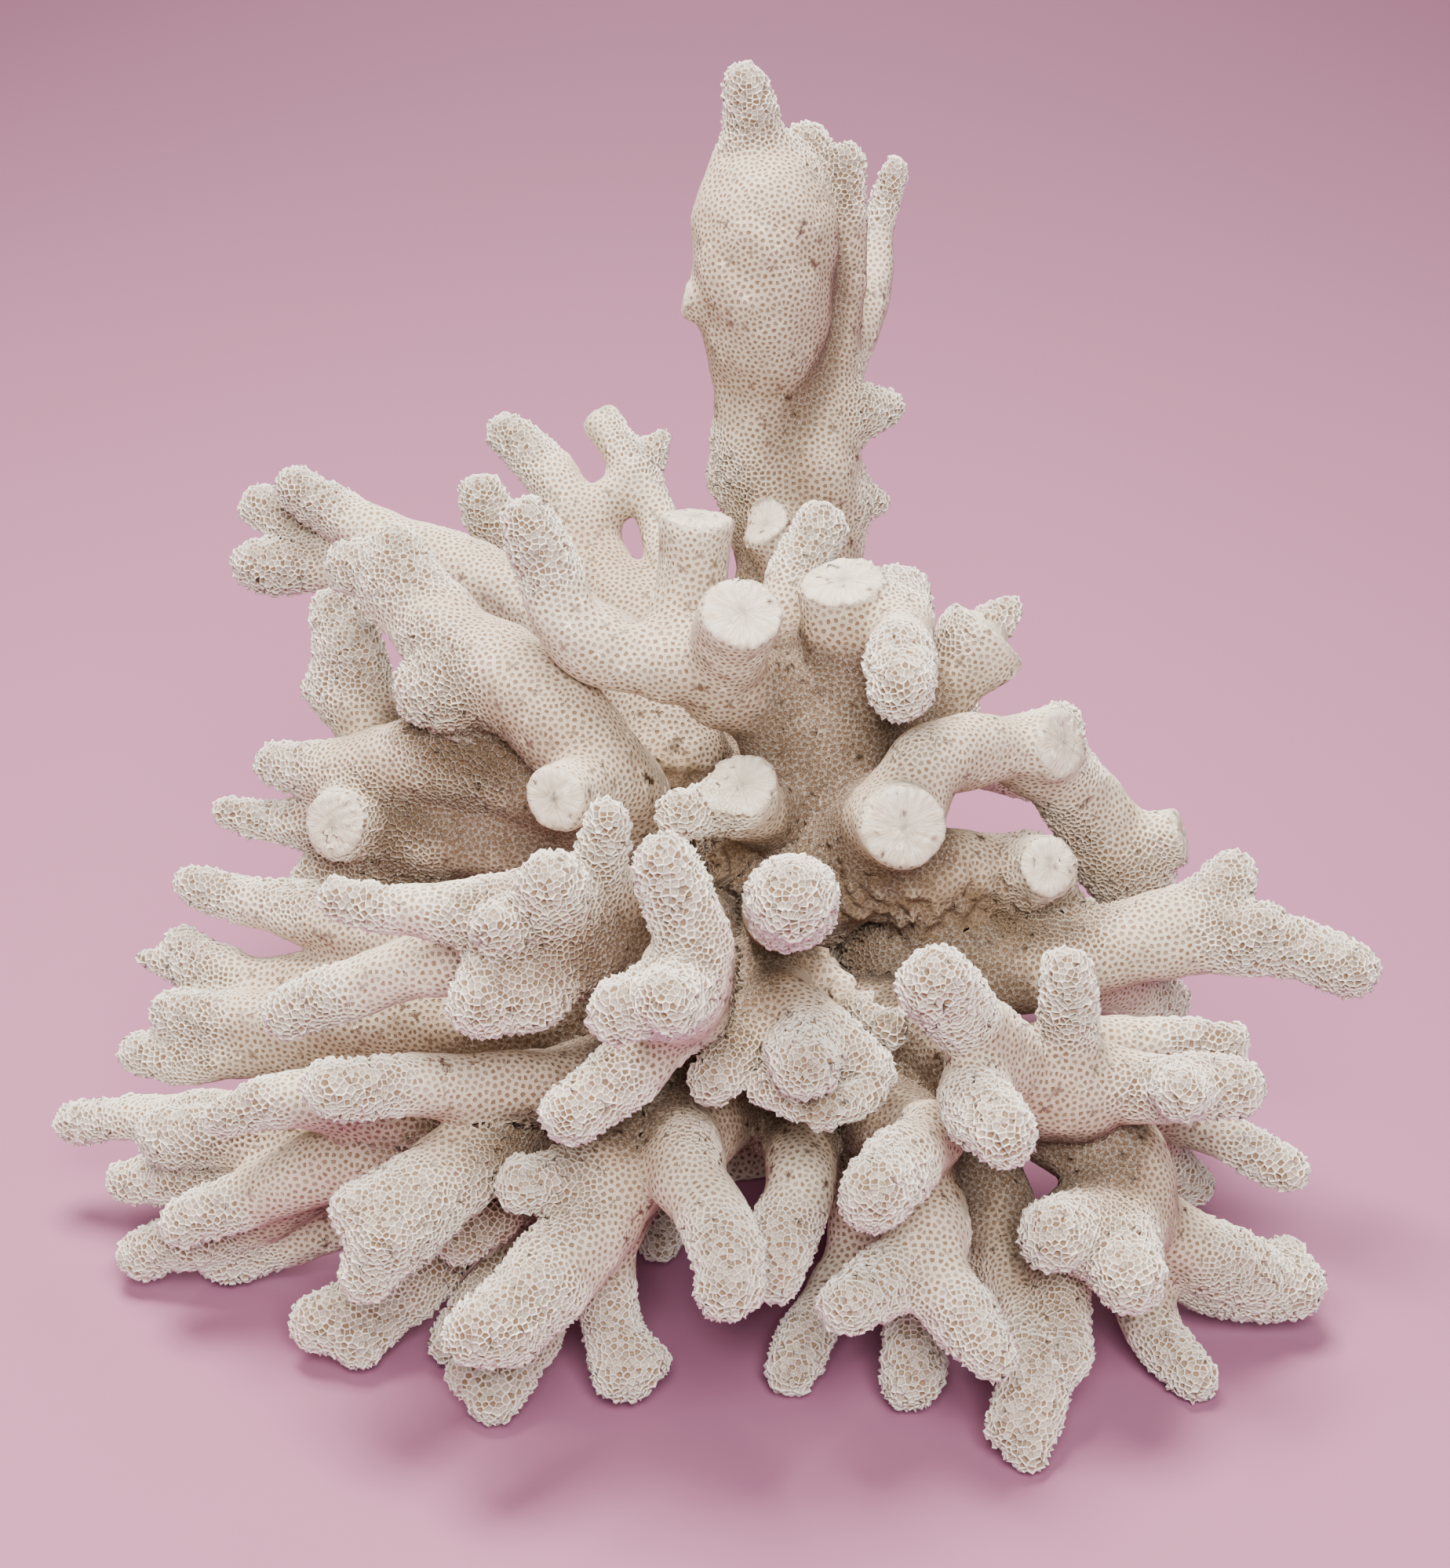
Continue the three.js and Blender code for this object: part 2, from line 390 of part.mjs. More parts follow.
// The lathe's profile has one point for each ring, at a height equal to the ring's number.
function limbGeometry(limb, leaning, extra) {
  const rings = closedRings(limb, leaning, extra);
  const profile = rings.map((ring, i) => new THREE.Vector2(ring.radius, i));
  const lathe = new THREE.LatheGeometry(profile, SIDES);
  bendAlong(lathe, rings);
  return lathe;
}

// A closed geometry as a manifold solid, without the collapsed triangles at a lathe's poles.
function toSolid(geometry) {
  geometry.deleteAttribute('normal');
  geometry.deleteAttribute('uv');
  const merged = mergeVertices(geometry);
  const corners = merged.index.array;
  const kept = [];
  for (let i = 0; i < corners.length; i += 3) {
    const [a, b, c] = corners.slice(i, i + 3);
    if (a !== b && b !== c && c !== a) kept.push(a, b, c);
  }
  const vertProperties = new Float32Array(merged.attributes.position.array);
  return new wasm.Manifold(new wasm.Mesh({ numProp: 3, vertProperties, triVerts: new Uint32Array(kept) }));
}

// A manifold solid as a three.js geometry.
function toGeometry(solid) {
  const mesh = solid.getMesh();
  const geometry = new THREE.BufferGeometry();
  geometry.setAttribute('position', new THREE.BufferAttribute(mesh.vertProperties, 3));
  geometry.setIndex(new THREE.BufferAttribute(mesh.triVerts, 1));
  geometry.computeVertexNormals();
  return geometry;
}

// All the limbs of a bough, joined in one solid.
function boughSolid(bough, extra) {
  const solids = bough.limbs.map((limb) => toSolid(limbGeometry(limb, bough.leaning, extra)));
  return solids.reduce((whole, solid) => whole.add(solid));
}

// What lies under the cut, which no bough reaches into.
function groundSolid() {
  const box = new THREE.BoxGeometry(CUT_WIDTH, CUT_WIDTH, CUT_DEPTH);
  box.translate(0, 0, -CUT_DEPTH / 2);
  return toSolid(box);
}

// A bough keeps its largest part: a splinter cut off by a neighbour belongs to that neighbour.
function largestPart(solid) {
  const parts = solid.decompose();
  return parts.reduce((best, part) => (part.volume() > best.volume() ? part : best));
}

// Each bough is cut back from the ones before it, so that they meet face to face with a small gap.
function buildColony() {
  const colony = new THREE.Group();
  const ground = groundSolid();
  let taken = ground;
  for (const bough of BOUGHS) {
    const solid = largestPart(boughSolid(bough, 0).subtract(taken));
    taken = taken.add(boughSolid(bough, GAP));
    const mesh = new THREE.Mesh(toGeometry(solid), new THREE.MeshStandardMaterial(SKELETON));
    mesh.name = bough.name;
    colony.add(mesh);
  }
  return colony;
}

export default buildColony();
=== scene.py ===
"""A bleached colony of branching coral, about twenty centimetres across.

The colony is one skeleton that forks into boughs, and each bough ends in blunt fingers. Every finger is a
centre line with a thickness. The skin of the colony lies where the distance to all those fingers, blended
where they meet, is nothing. The skin is then shared out evenly into the small cups that the polyps sat in,
and every cup is raised in the mesh, with its wall, its rim and its floor.

Lengths are in millimetres until a mesh is written out in metres.
"""
import logging
from collections.abc import Iterator
from dataclasses import dataclass, field
from enum import Enum
from math import cos, radians, sin, sqrt
from typing import Any

import bpy
import numpy as np
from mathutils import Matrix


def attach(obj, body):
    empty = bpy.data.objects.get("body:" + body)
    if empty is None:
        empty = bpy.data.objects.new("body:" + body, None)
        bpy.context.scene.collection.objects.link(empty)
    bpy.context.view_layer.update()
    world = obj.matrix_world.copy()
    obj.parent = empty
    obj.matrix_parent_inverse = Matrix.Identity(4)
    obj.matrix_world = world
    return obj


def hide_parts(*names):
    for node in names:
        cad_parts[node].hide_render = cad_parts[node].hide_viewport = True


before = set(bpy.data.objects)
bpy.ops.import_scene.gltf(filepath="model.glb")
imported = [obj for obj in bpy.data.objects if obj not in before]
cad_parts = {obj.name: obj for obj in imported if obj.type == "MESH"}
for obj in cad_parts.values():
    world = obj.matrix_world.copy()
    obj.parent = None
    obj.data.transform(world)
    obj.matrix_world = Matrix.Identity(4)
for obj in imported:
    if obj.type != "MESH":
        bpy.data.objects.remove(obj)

import openvdb
from mathutils import Vector

log = logging.getLogger("coral")

MM = 0.001  # metres in a millimetre
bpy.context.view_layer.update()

LEAN = radians(25)  # the colony grew leaning back by this angle
HEART_HEIGHT = 65.0  # height of the point that the fingers fan out from
HEART_BACK = -8.0  # how far that point lies in front of the holdfast's centre


class Tip(Enum):
    """How a limb ends."""

    ROUND = "round"
    BROKEN = "broken"


def upright(point: tuple[float, ...]) -> tuple[float, ...]:
    """Turn a leaning point into the part's frame.

    A leaning point is given about the heart of the colony: x to the right, y up along the lean, and z
    forward and up, square to the lean. Turning it back by the lean gives depth and height.

    Args:
        point: x, y, z and anything after them, which is kept.

    Returns:
        The point upright, with the rest of its numbers as they were.
    """
    x, up, forward = point[:3]
    back = HEART_BACK + up * sin(LEAN) - forward * cos(LEAN)
    height = HEART_HEIGHT + up * cos(LEAN) + forward * sin(LEAN)
    return (x, back, height, *point[3:])


@dataclass(frozen=True)
class Limb:
    """One finger or stump: points of (x, y, z, radius) along its middle, root first."""

    points: tuple[tuple[float, float, float, float], ...]
    tip: Tip

    def straightened(self) -> "Limb":
        """Return the same limb in the part's upright frame."""
        return Limb(tuple(upright(point) for point in self.points), self.tip)

    def centre_line(self, steps: int = 5) -> np.ndarray:
        """Draw a smooth line through the points.

        Each span is a cubic that leaves one point and reaches the next along the chord of their
        neighbours (Catmull and Rom's curve). The radius follows the same cubic.

        Args:
            steps: stretches in each span.

        Returns:
            An array of rows of x, y, z, radius.
        """
        given = np.array(self.points, dtype=float)
        ends = np.vstack([2 * given[0] - given[1], given, 2 * given[-1] - given[-2]])
        t = np.linspace(0.0, 1.0, steps, endpoint=False)[None, :, None]
        before, start, finish, after = (ends[i : len(ends) - 3 + i, None, :] for i in range(4))
        line = start + 0.5 * t * (
            finish - before
            + t * (2 * before - 5 * start + 4 * finish - after)
            + t * t * (3 * start - before - 3 * finish + after)
        )
        return np.vstack([line.reshape(-1, 4), given[-1:]])


def finger(*points: tuple[float, float, float, float]) -> Limb:
    """Return a limb that ends in a round tip."""
    return Limb(points, Tip.ROUND)


def stub(*points: tuple[float, float, float, float]) -> Limb:
    """Return a limb that was broken off flat."""
    return Limb(points, Tip.BROKEN)


# The holdfast and the boughs behind it, upright, in the part's own frame.
UPRIGHT_BOUGHS = {
    "holdfast": (
        stub((3, -8, 34, 14), (1, -3, 16, 15), (0, 0, 2, 18), (0, 0, -6, 20)),
        finger((2, 22, 54, 12), (5, 4, 51, 15), (5, -10, 45, 14.5), (4, -26, 39, 12.5), (2, -36, 35, 10)),
        finger((4, -10, 42, 14), (-8, -14, 42, 12)),
        finger((4, -10, 42, 14), (14, -14, 40, 12)),
    ),
    "rear_centre_bough": (
        finger((4, 0, 38, 11), (2, 22, 42, 8.5), (-4, 40, 44, 7.5), (-8, 54, 48, 6), (-10, 66, 52, 4.4)),
        finger((-2, 36, 43, 6.5), (6, 52, 38, 5.4), (12, 64, 34, 4.2)),
        finger((-3, 36, 42, 6), (-16, 50, 34, 5), (-22, 60, 28, 4)),
        finger((-1, 32, 45, 5.5), (4, 42, 57, 4.2), (6, 46, 65, 3.6)),
    ),
    "rear_right_bough": (
        finger((6, -4, 34, 11), (24, 12, 30, 8.5), (38, 22, 24, 7.4), (52, 30, 20, 6.2),
            (64, 36, 18, 4.4)),
        finger((36, 20, 24, 6.5), (42, 38, 18, 5.2), (46, 52, 12, 4)),
        finger((48, 28, 21, 6), (64, 27, 10, 4.8), (76, 28, 6, 3.6)),
        finger((22, 10, 30, 6.5), (28, 30, 16, 5.4), (30, 44, 6, 4.2)),
    ),
    "rear_left_low_bough": (
        finger((-2, -4, 32, 11), (-24, 12, 30, 8.5), (-40, 24, 24, 7), (-54, 34, 20, 5.6),
            (-66, 42, 18, 4.2)),
        finger((-38, 22, 25, 6), (-44, 40, 20, 5), (-48, 54, 14, 4)),
        finger((-50, 31, 21, 5.5), (-68, 32, 10, 4.4), (-80, 34, 6, 3.4)),
        finger((-22, 10, 30, 6.5), (-24, 30, 16, 5.4), (-22, 44, 6, 4.2)),
    ),
    "rear_low_bough": (
        finger((0, 2, 20, 10), (0, 16, 14, 8), (-2, 32, 8, 5.6), (-4, 46, 3.6, 4)),
        finger((0, 18, 13, 6), (12, 34, 8, 4.4), (17, 45, 4, 3.8)),
    ),
    "rear_upper_right_bough": (
        finger((6, -2, 46, 10), (24, 16, 56, 7.5), (34, 26, 60, 6), (38, 36, 60, 4.5)),
        finger((26, 18, 57, 6), (24, 36, 50, 5), (26, 50, 46, 4)),
        finger((31, 23, 59, 5.5), (46, 30, 50, 4.5), (54, 38, 44, 3.6)),
    ),
    "rear_left_mid_bough": (
        finger((0, 0, 42, 10), (-20, 20, 49, 7.5), (-34, 34, 49, 6), (-44, 42, 46, 4.4)),
        finger((-22, 22, 49, 6), (-21, 40, 52, 5), (-22, 54, 55, 3.9)),
        finger((-33, 33, 49, 5.5), (-42, 44, 38, 4.6), (-50, 52, 30, 3.8)),
    ),
}

LEANING_BOUGHS = {
    "spire": (
        finger((9, 14, -34, 9), (10, 37, -44, 8.5), (6, 55, -41, 8.2), (6.5, 66, -38, 8.6),
            (6.5, 78, -32, 11.2), (6.5, 90, -30, 12), (6, 98, -30, 8.8), (4.5, 104, -27, 5.4),
            (3.6, 112, -24, 3.7)),
        finger((10, 14, -36, 9), (15, 37, -46, 8.5), (15, 52.5, -41, 8), (14, 66, -41, 7.4),
            (13, 80, -40, 7.6), (13, 92, -38, 7.6), (13, 100.5, -36, 6), (13.6, 104.5, -35, 4.4)),
        finger((17, 70, -42, 5), (19.6, 84, -38, 3.9), (20.4, 94, -34, 3.2), (19.8, 102, -33, 2.8)),
        finger((18, 70, -44, 5), (22, 77, -49, 4.6), (25, 86, -52, 4.2), (26, 94, -52, 3.4),
            (28.2, 102, -51, 2.6), (29, 104.5, -51, 2.4)),
        stub((5, 76, -36, 5), (1.5, 77.5, -32, 4.6), (-6.8, 79, -31, 3.2)),
        finger((12, 62, -43, 6.5), (18, 62, -42, 6), (26.5, 63, -44, 3.4)),
        finger((12, 51, -45, 6.5), (17, 50, -44, 6), (26, 47.5, -46, 2.2)),
        finger((10, 52, -43, 6), (7, 52.5, -42, 5.4), (1, 51, -44, 4.4)),
        stub((13, 33, -40, 6), (10, 38, -37, 5), (6.5, 42.5, -33, 4.4)),
    ),
    "rear_left_bough": (
        finger((-1, 6, -30, 9), (-8, 19, -35, 8), (-18, 31, -42, 7), (-24, 40, -46, 6),
            (-27.5, 49, -47, 5), (-33, 56, -49, 4.2), (-37, 59.6, -50, 3.6)),
        finger((-24, 36, -45, 6), (-32, 39, -44, 5.6), (-38.5, 44, -42, 4.6), (-40.5, 48, -41, 3.8)),
        stub((-8, 22, -36, 6.5), (-9, 34, -41, 4.8), (-11, 44, -44, 3.8), (-16.4, 54, -46, 3.8),
            (-21.5, 62.5, -48, 3.7)),
        finger((-24, 42, -46, 5.4), (-20.5, 46.5, -46, 4.4), (-15, 52, -46, 3.9), (-12, 56, -46, 2.8),
            (-10.6, 58.5, -46, 1.6)),
    ),
    "left_rear_bough": (
        finger((-8, 4, -8, 9), (-15, 16, -15, 8), (-30, 28, -28, 7), (-42, 34, -33, 6.4),
            (-56, 40, -38, 5.2), (-64, 44.5, -41, 4.6), (-71, 49.3, -42, 4.1)),
        finger((-30, 26, -32, 6), (-42, 30, -38, 6), (-60, 36, -46, 5), (-68, 40.5, -48, 4.1),
            (-74.5, 44.6, -49, 3.8), (-79, 47.2, -50, 3.6)),
        finger((-58, 35, -44, 5), (-66, 36.4, -46, 4.6), (-74, 36.6, -46, 4.8), (-78.5, 37, -46, 4.4)),
    ),
    "upper_left_bough": (
        finger((-8, -24, -6, 8), (-13, -8, 6, 7.4), (-19, 3, 18, 7.6), (-27, 12, 18, 7.6),
            (-37.5, 18.5, 13, 7.2), (-46.5, 26, 8, 5.8), (-52, 31, 5, 5), (-56.5, 32.5, 4, 4.2)),
        finger((-43, 24, 9, 6), (-47, 29.5, 8, 5), (-49, 34.5, 7, 4.4)),
        finger((-34, 17, 13, 7.5), (-39, 14.5, 14, 6.8), (-44, 13.5, 14, 5)),
        stub((-16, 0, 14, 6.5), (-21, -1, 26, 5.2), (-24, -2, 34, 5)),
    ),
    "ragged_bough": (
        finger((-30, 0, -2, 8), (-39, 1, 0, 8), (-51, 6.5, -6, 6.5), (-58, 14.5, -8, 6), (-59, 23, -8, 5),
            (-60.5, 26, -8, 4.2)),
        finger((-56, 12, -8, 5), (-59, 13.5, -8, 4), (-64, 14.5, -8, 1.6)),
        finger((-56, 18, -6, 4.5), (-56, 22, -4, 3)),
    ),
    "left_shelf_bough": (
        finger((-8, -18, -4, 8), (-14, -7, 6, 7.4), (-26, 0, 8, 8.2), (-38, 3.5, 6, 8), (-50, 3, 3, 6.5),
            (-60.5, 1.5, -2, 5), (-69, 3.5, -5, 3.6)),
        finger((-30, 3, 8, 7), (-38, 7, 10, 4.4)),
        finger((-10, -16, -4, 7.5), (-19.5, -10, 2, 7), (-32.5, -7, 2, 8), (-45.5, -7, 0, 7.5),
            (-52, -7, -1, 6)),
        stub((-50, -5, -6, 6), (-56, -5.5, 3, 5.6), (-58.4, -6, 9, 5.3)),
        finger((-56, -6, -3, 5), (-66, -6, -7, 4), (-70, -6, -8, 3.5), (-77, -4, -8, 2.7)),
        finger((-44, -10, -2, 6), (-54, -13, -4, 4.6), (-63.5, -14, -6, 3.4)),
    ),
    "crown_bough": (
        finger((14, 2, 6, 10), (12, 5, 10, 9), (3, 15, 18, 6.6), (-7, 17.5, 24, 5.3), (-15, 18, 25, 5),
            (-22, 22, 26, 5), (-25, 29.5, 27, 4.7), (-28, 37, 28, 4)),
        stub((-8, 17, 23, 5.5), (-5, 28, 21, 5.4), (-4, 38.5, 24, 5.7)),
        stub((0, 14, 20, 6.5), (0, 18, 25, 6), (2.5, 24, 37, 6.2)),
    ),
    "upper_right_bough": (
        stub((5, -18, 2, 11), (10, -9, 5, 10.5), (15, 1, 8, 11), (18, 11.5, 10, 11), (18.5, 20, 14, 8.6),
            (17, 29.5, 22, 6)),
        finger((20, 18, 12, 8), (24.5, 24, 16, 5.8), (25, 19, 28, 5), (24.5, 13.5, 36, 4.7)),
        finger((20, 18, 12, 8), (24, 24, 12, 5.5), (26, 27.5, 12, 4.6)),
        stub((22, 4, 8, 8), (27, 9.5, 6, 7), (32, 14, 5, 6), (39.8, 22.8, 5, 7.4)),
        finger((36, 20, 3, 5), (43, 26.5, 1, 2.3)),
        finger((12, 14, 6, 6), (9, 23.5, 6, 4.8), (10.5, 31, 5, 4.2), (14.5, 39, 3, 3.8)),
    ),
    "hub_arm": (
        finger((12, -8, 4, 7), (10, -5, 10, 5.6), (3, -3.2, 22, 4.3), (-6, -4, 30, 3.7)),
        stub((6, -5, 18, 5), (3.5, -3, 24, 5), (2.5, 0, 30.5, 5.3)),
    ),
    "right_loop_bough": (
        finger((10, -14, 4, 10), (18, -10.5, 12, 9), (24.5, -4.5, 24, 6.8), (29.5, 3, 24, 6),
            (37.5, 5, 18, 5.4), (45, 4.5, 12, 5.4), (53, -1.5, 4, 6), (59.5, -11, -2, 6.8),
            (64, -15, -6, 5.6)),
        stub((24, -5, 22, 6.8), (25, -6, 37, 6.3)),
        stub((44, 4.5, 12, 5.4), (46.5, 5.5, 14, 5.6), (49.5, 6, 17, 5.6)),
        finger((46, 3, 10, 5), (50.5, 9, 6, 3.5)),
        stub((57, -8, -1, 6), (63, -9, -1, 5), (69.5, -7.5, 1, 4.6)),
    ),
    "ridge_bough": (
        finger((6, -20, 4, 10), (15, -13, 12, 9), (26, -13, 16, 7), (37, -12.5, 12, 5.6),
            (47, -14, 7, 5)),
        stub((44, -13.5, 8, 5.4), (47, -12, 20, 4.8)),
        finger((28, -17, 12, 6), (38, -19, 8, 5.6), (50, -20, 4, 5)),
    ),
    "right_long_bough": (
        finger((10, -30, -14, 8), (20, -27.5, -2, 7.2), (28, -26.5, 6, 8), (42, -27, 8, 8),
            (56, -25, 8, 6.6), (67.5, -23, 8, 6.2), (78, -23, 10, 5), (85.5, -25, 12, 4.3),
            (92.5, -27.5, 14, 4)),
        finger((64, -22, 8, 6), (69, -20.5, 8, 5.4), (74, -16.5, 7, 4.5), (76, -13, 6, 3.3)),
        finger((77, -23, 11, 4.5), (79.5, -21, 13, 3.3)),
        finger((52, -28, 0, 6), (62, -32, -10, 5), (70, -34.5, -18, 3.8)),
    ),
    "right_front_bough": (
        finger((4, -34, 0, 9), (14, -35, 8, 7.8), (29, -37, 22, 8), (42, -41.5, 35, 7.5),
            (49, -43, 36, 7.2), (51, -42, 36, 6.2), (59.5, -42, 38, 4.9), (66.5, -42, 40, 4.5),
            (70, -42, 41, 4.2)),
        finger((44, -42, 36, 6.5), (40.5, -40, 40, 6), (33.5, -33, 50, 5.2), (27.5, -26, 59, 4.9)),
        finger((36, -38, 44, 5.2), (33, -42, 54, 5), (36.5, -45.5, 61, 4.4)),
        finger((48, -42, 37, 6), (48, -39, 38, 5), (47, -32.5, 42, 4.3), (46.5, -26, 45, 3.9)),
        finger((63, -42, 42, 4), (62, -42, 47, 3.6)),
        finger((46, -40, 26, 6.5), (56, -37.5, 25, 4.5), (65, -36.5, 25, 3.3), (72, -37, 26, 3)),
        finger((44, -43, 24, 7), (56, -46, 18, 5.5), (67, -49, 12, 4.5), (74, -52, 16, 3.7),
            (82, -56.5, 18, 3.1)),
        finger((48, -46, 16, 6), (58, -51, 4, 5.4), (66, -57, -5, 4.8), (73, -62.5, -8, 3)),
    ),
    "lower_right_bough": (
        finger((28, -38, 12, 9), (45, -45, 24, 8.4), (55.5, -54, 28, 8), (56, -61, 32, 7.4),
            (54, -63, 38, 6.2), (54.5, -66.5, 47, 5.2)),
        finger((54, -59, 32, 7), (51, -61, 38, 6), (44.5, -61.5, 46, 4.9)),
        finger((57, -60, 28, 6.5), (62.5, -64, 26, 6), (70, -68, 26, 5.3), (76, -70.5, 24, 4.7)),
        finger((58, -62, 24, 6.5), (64.5, -68.5, 20, 5.6), (75, -73, 20, 4.9), (82, -72.5, 20, 4.9)),
        finger((78, -71, 19, 4), (82, -68, 18, 2.6)),
        finger((57, -64, 26, 6), (59, -70, 25, 5), (61, -77.5, 27, 4.3), (66, -83.5, 33, 3.4)),
        finger((50, -62, 32, 6), (47, -68, 34, 5), (46.5, -74, 38, 4.4), (46.5, -78.5, 42, 4.2)),
    ),
    "far_foot_bough": (
        finger((20, -38, 6, 9), (31.5, -46, 14, 8), (38.5, -59.5, 20, 5.8), (41, -70, 30, 4.6),
            (42, -80, 42, 4), (41.3, -90.3, 47, 3)),
        finger((42, -79, 41, 4.2), (41, -82, 43, 3.8), (38.5, -87, 46, 3.2)),
        finger((42, -80, 42, 4.2), (43.8, -87, 44.5, 2.9)),
        finger((38, -66, 22, 5), (36, -77, 27, 3.4)),
    ),
    "right_foot_bough": (
        finger((12, -38, 8, 9), (23, -47, 24, 7.5), (27.5, -57.5, 40, 6), (27, -64, 46, 5.6),
            (24, -66, 48, 5), (16.5, -69, 56, 4.1)),
        finger((27, -62, 45, 5.6), (28, -66, 48, 5), (32, -71.5, 52, 4.5), (35.5, -76, 55, 3.6)),
        finger((24, -48, 30, 6), (28, -48.5, 42, 5), (24, -50.5, 52, 5), (19.5, -53.5, 60, 4.8)),
        finger((26, -56, 30, 6), (27, -71, 30, 4.6), (26, -83, 35, 4.4)),
        finger((22, -52, 18, 6.5), (19, -68.5, 20, 5), (13, -76, 27, 4), (9.3, -82.5, 32, 3.7)),
    ),
    "centre_foot_bough": (
        finger((0, -34, 6, 9), (-5, -38, 15, 8.5), (-10.5, -49, 32, 8), (-15.5, -55, 42, 7),
            (-17.5, -60, 46, 6), (-23.5, -66, 52, 6), (-29, -72, 57, 5.2)),
        finger((-25, -68, 53, 5.4), (-33, -72, 59, 4.2)),
        finger((-14, -51, 36, 6), (-22, -53.5, 46, 4.3), (-27, -54, 50, 3.9)),
        finger((-14, -54, 34, 6.5), (-16.5, -66.5, 32, 4.4), (-16, -75, 33, 4.3), (-14, -81.5, 34, 5)),
        finger((-14, -80, 34, 4), (-9.5, -80.5, 34, 2.2)),
        finger((-14, -54, 32, 6.5), (-23, -67, 28, 5), (-28, -77, 34, 4.8), (-32, -85.2, 38, 3.6)),
        finger((-28, -77, 34, 4.4), (-36, -82, 38, 2.9)),
        finger((-14, -50, 26, 6.5), (-26, -56, 26, 5), (-32.5, -60.5, 29, 4.2), (-37.5, -64.5, 30, 3.6)),
        finger((-18, -56, 22, 6), (-31, -65, 18, 4), (-35.5, -73.5, 23, 3.4), (-39.5, -80.5, 26, 2.8)),
    ),
    "arch_bough": (
        finger((4, -34, 6, 9), (-2, -46, 24, 8), (-6, -49.5, 38, 6.5), (-5, -53, 48, 5.6),
            (-0.5, -59.5, 56, 5), (0.5, -66, 60, 4.4)),
        finger((0, -42, 14, 7.5), (9, -50, 16, 5.5), (18, -48, 18, 6)),
        finger((11, -48, 18, 6.5), (10.5, -55, 34, 5.4), (7.7, -63, 40, 4.7), (6.6, -67.5, 42, 4)),
        finger((-2, -44, 12, 7), (-7, -56, 6, 5), (-10, -68, 5, 3.8)),
    ),
    "centre_bough": (
        finger((6, -24, 8, 7.4), (6, -24.5, 25, 5.4), (7.5, -29, 36, 5.4), (10.5, -35, 46, 5.4),
            (10.4, -37.3, 57, 4.5)),
        finger((6.5, -30, 40, 4.6), (2, -35.5, 46, 4), (-1.8, -40, 50, 3.2)),
        finger((11, -33, 44, 5), (16, -36.5, 46, 4.4), (19.7, -39.2, 47, 3.6)),
        finger((9, -24, 26, 3.2), (13, -26, 30, 2.8), (18, -31, 36, 2.5), (23.5, -34, 42, 2.2)),
        finger((5, -41, 50, 2.2), (12, -43.4, 53, 2.5), (19.5, -41.8, 50, 2.2)),
    ),
    "heart_finger": (
        finger((8, -19, 8, 6), (8, -18, 30, 5.6), (8, -16.5, 55, 5.9), (8.2, -14.5, 76, 5.6)),
    ),
    "curled_bough": (
        finger((0, -26, 6, 9), (-2.7, -26.5, 22, 7), (-5, -29, 45, 6.4), (-6, -28, 60, 6),
            (-4, -22, 67, 5.4), (-5.5, -16, 70, 4.6), (-8, -10, 72, 3.9)),
        finger((-5, -25, 64, 6), (-6, -26.5, 71, 5), (-7.2, -27, 77, 4.2)),
        finger((-6, -28, 64, 5.6), (-9.5, -28, 70, 4.6), (-13.3, -28.8, 74, 4.2)),
        finger((-6, -29, 52, 6), (-10, -34.5, 57, 5), (-14, -38.5, 59, 4.6), (-19.8, -43, 62, 4.1)),
    ),
    "front_left_bough": (
        finger((-3, -24, 6, 8), (-6.5, -21.5, 25, 8.2), (-15.5, -20.5, 42, 9), (-24.5, -21, 52, 8.4),
            (-27.5, -24, 54, 7), (-31.5, -28.5, 60, 4.6)),
        finger((-20, -20, 50, 7.5), (-23, -13.5, 61, 4.9)),
        finger((-15.5, -18, 46, 6.5), (-16.5, -11.5, 55, 3.8), (-15.3, -4.6, 60, 3)),
        finger((-22, -19, 50, 7), (-29.5, -17.5, 54, 5.8), (-38, -17, 56, 4.3), (-45, -16.5, 55, 3.4),
            (-51.5, -15, 54, 3)),
        finger((-24, -23, 52, 7), (-26, -28, 58, 4.8)),
        finger((-26, -20, 54, 5.5), (-30, -18.5, 63, 3)),
        finger((-22, -23, 46, 7), (-39, -24, 46, 5), (-49.5, -27.5, 44, 4.3), (-60, -31.5, 42, 3.6)),
    ),
    "left_long_bough": (
        finger((-2, -36, 10, 9), (-7.5, -40, 22, 8.4), (-18, -43, 32, 7.2), (-31, -42, 40, 5.6),
            (-43, -41, 46, 4.4), (-52.5, -41, 50, 4.1)),
        finger((-18, -43, 26, 7.2), (-34, -47, 26, 6.4), (-49.5, -46, 28, 5.6), (-60.5, -44.5, 29, 4.4),
            (-71, -47, 30, 2.9)),
    ),
    "left_low_bough": (
        finger((-10, -40, 8, 8.5), (-30, -48, 16, 7), (-54, -51.5, 18, 5.8), (-68, -52, 17, 5),
            (-82, -51.5, 15, 4.6)),
        finger((-66, -50, 12, 5), (-80, -50, 5, 4), (-99.5, -52, -5, 3.2)),
        finger((-58, -53, 14, 6), (-72.5, -57, 12, 4.8), (-89, -59.5, 8, 3.4)),
        finger((-36, -50, 22, 7), (-46, -53, 25, 6), (-59, -55.5, 24, 5.4), (-69.5, -60, 22, 4.3),
            (-78, -63.5, 22, 3.5)),
        finger((-56, -56, 18, 5.6), (-72, -65, 13, 4.4), (-86.5, -70, 9, 3.8)),
        finger((-44, -56, 14, 6), (-58, -65.5, 10, 4.4), (-75, -70.5, 8, 3.7)),
    ),
    "left_foot_bough": (
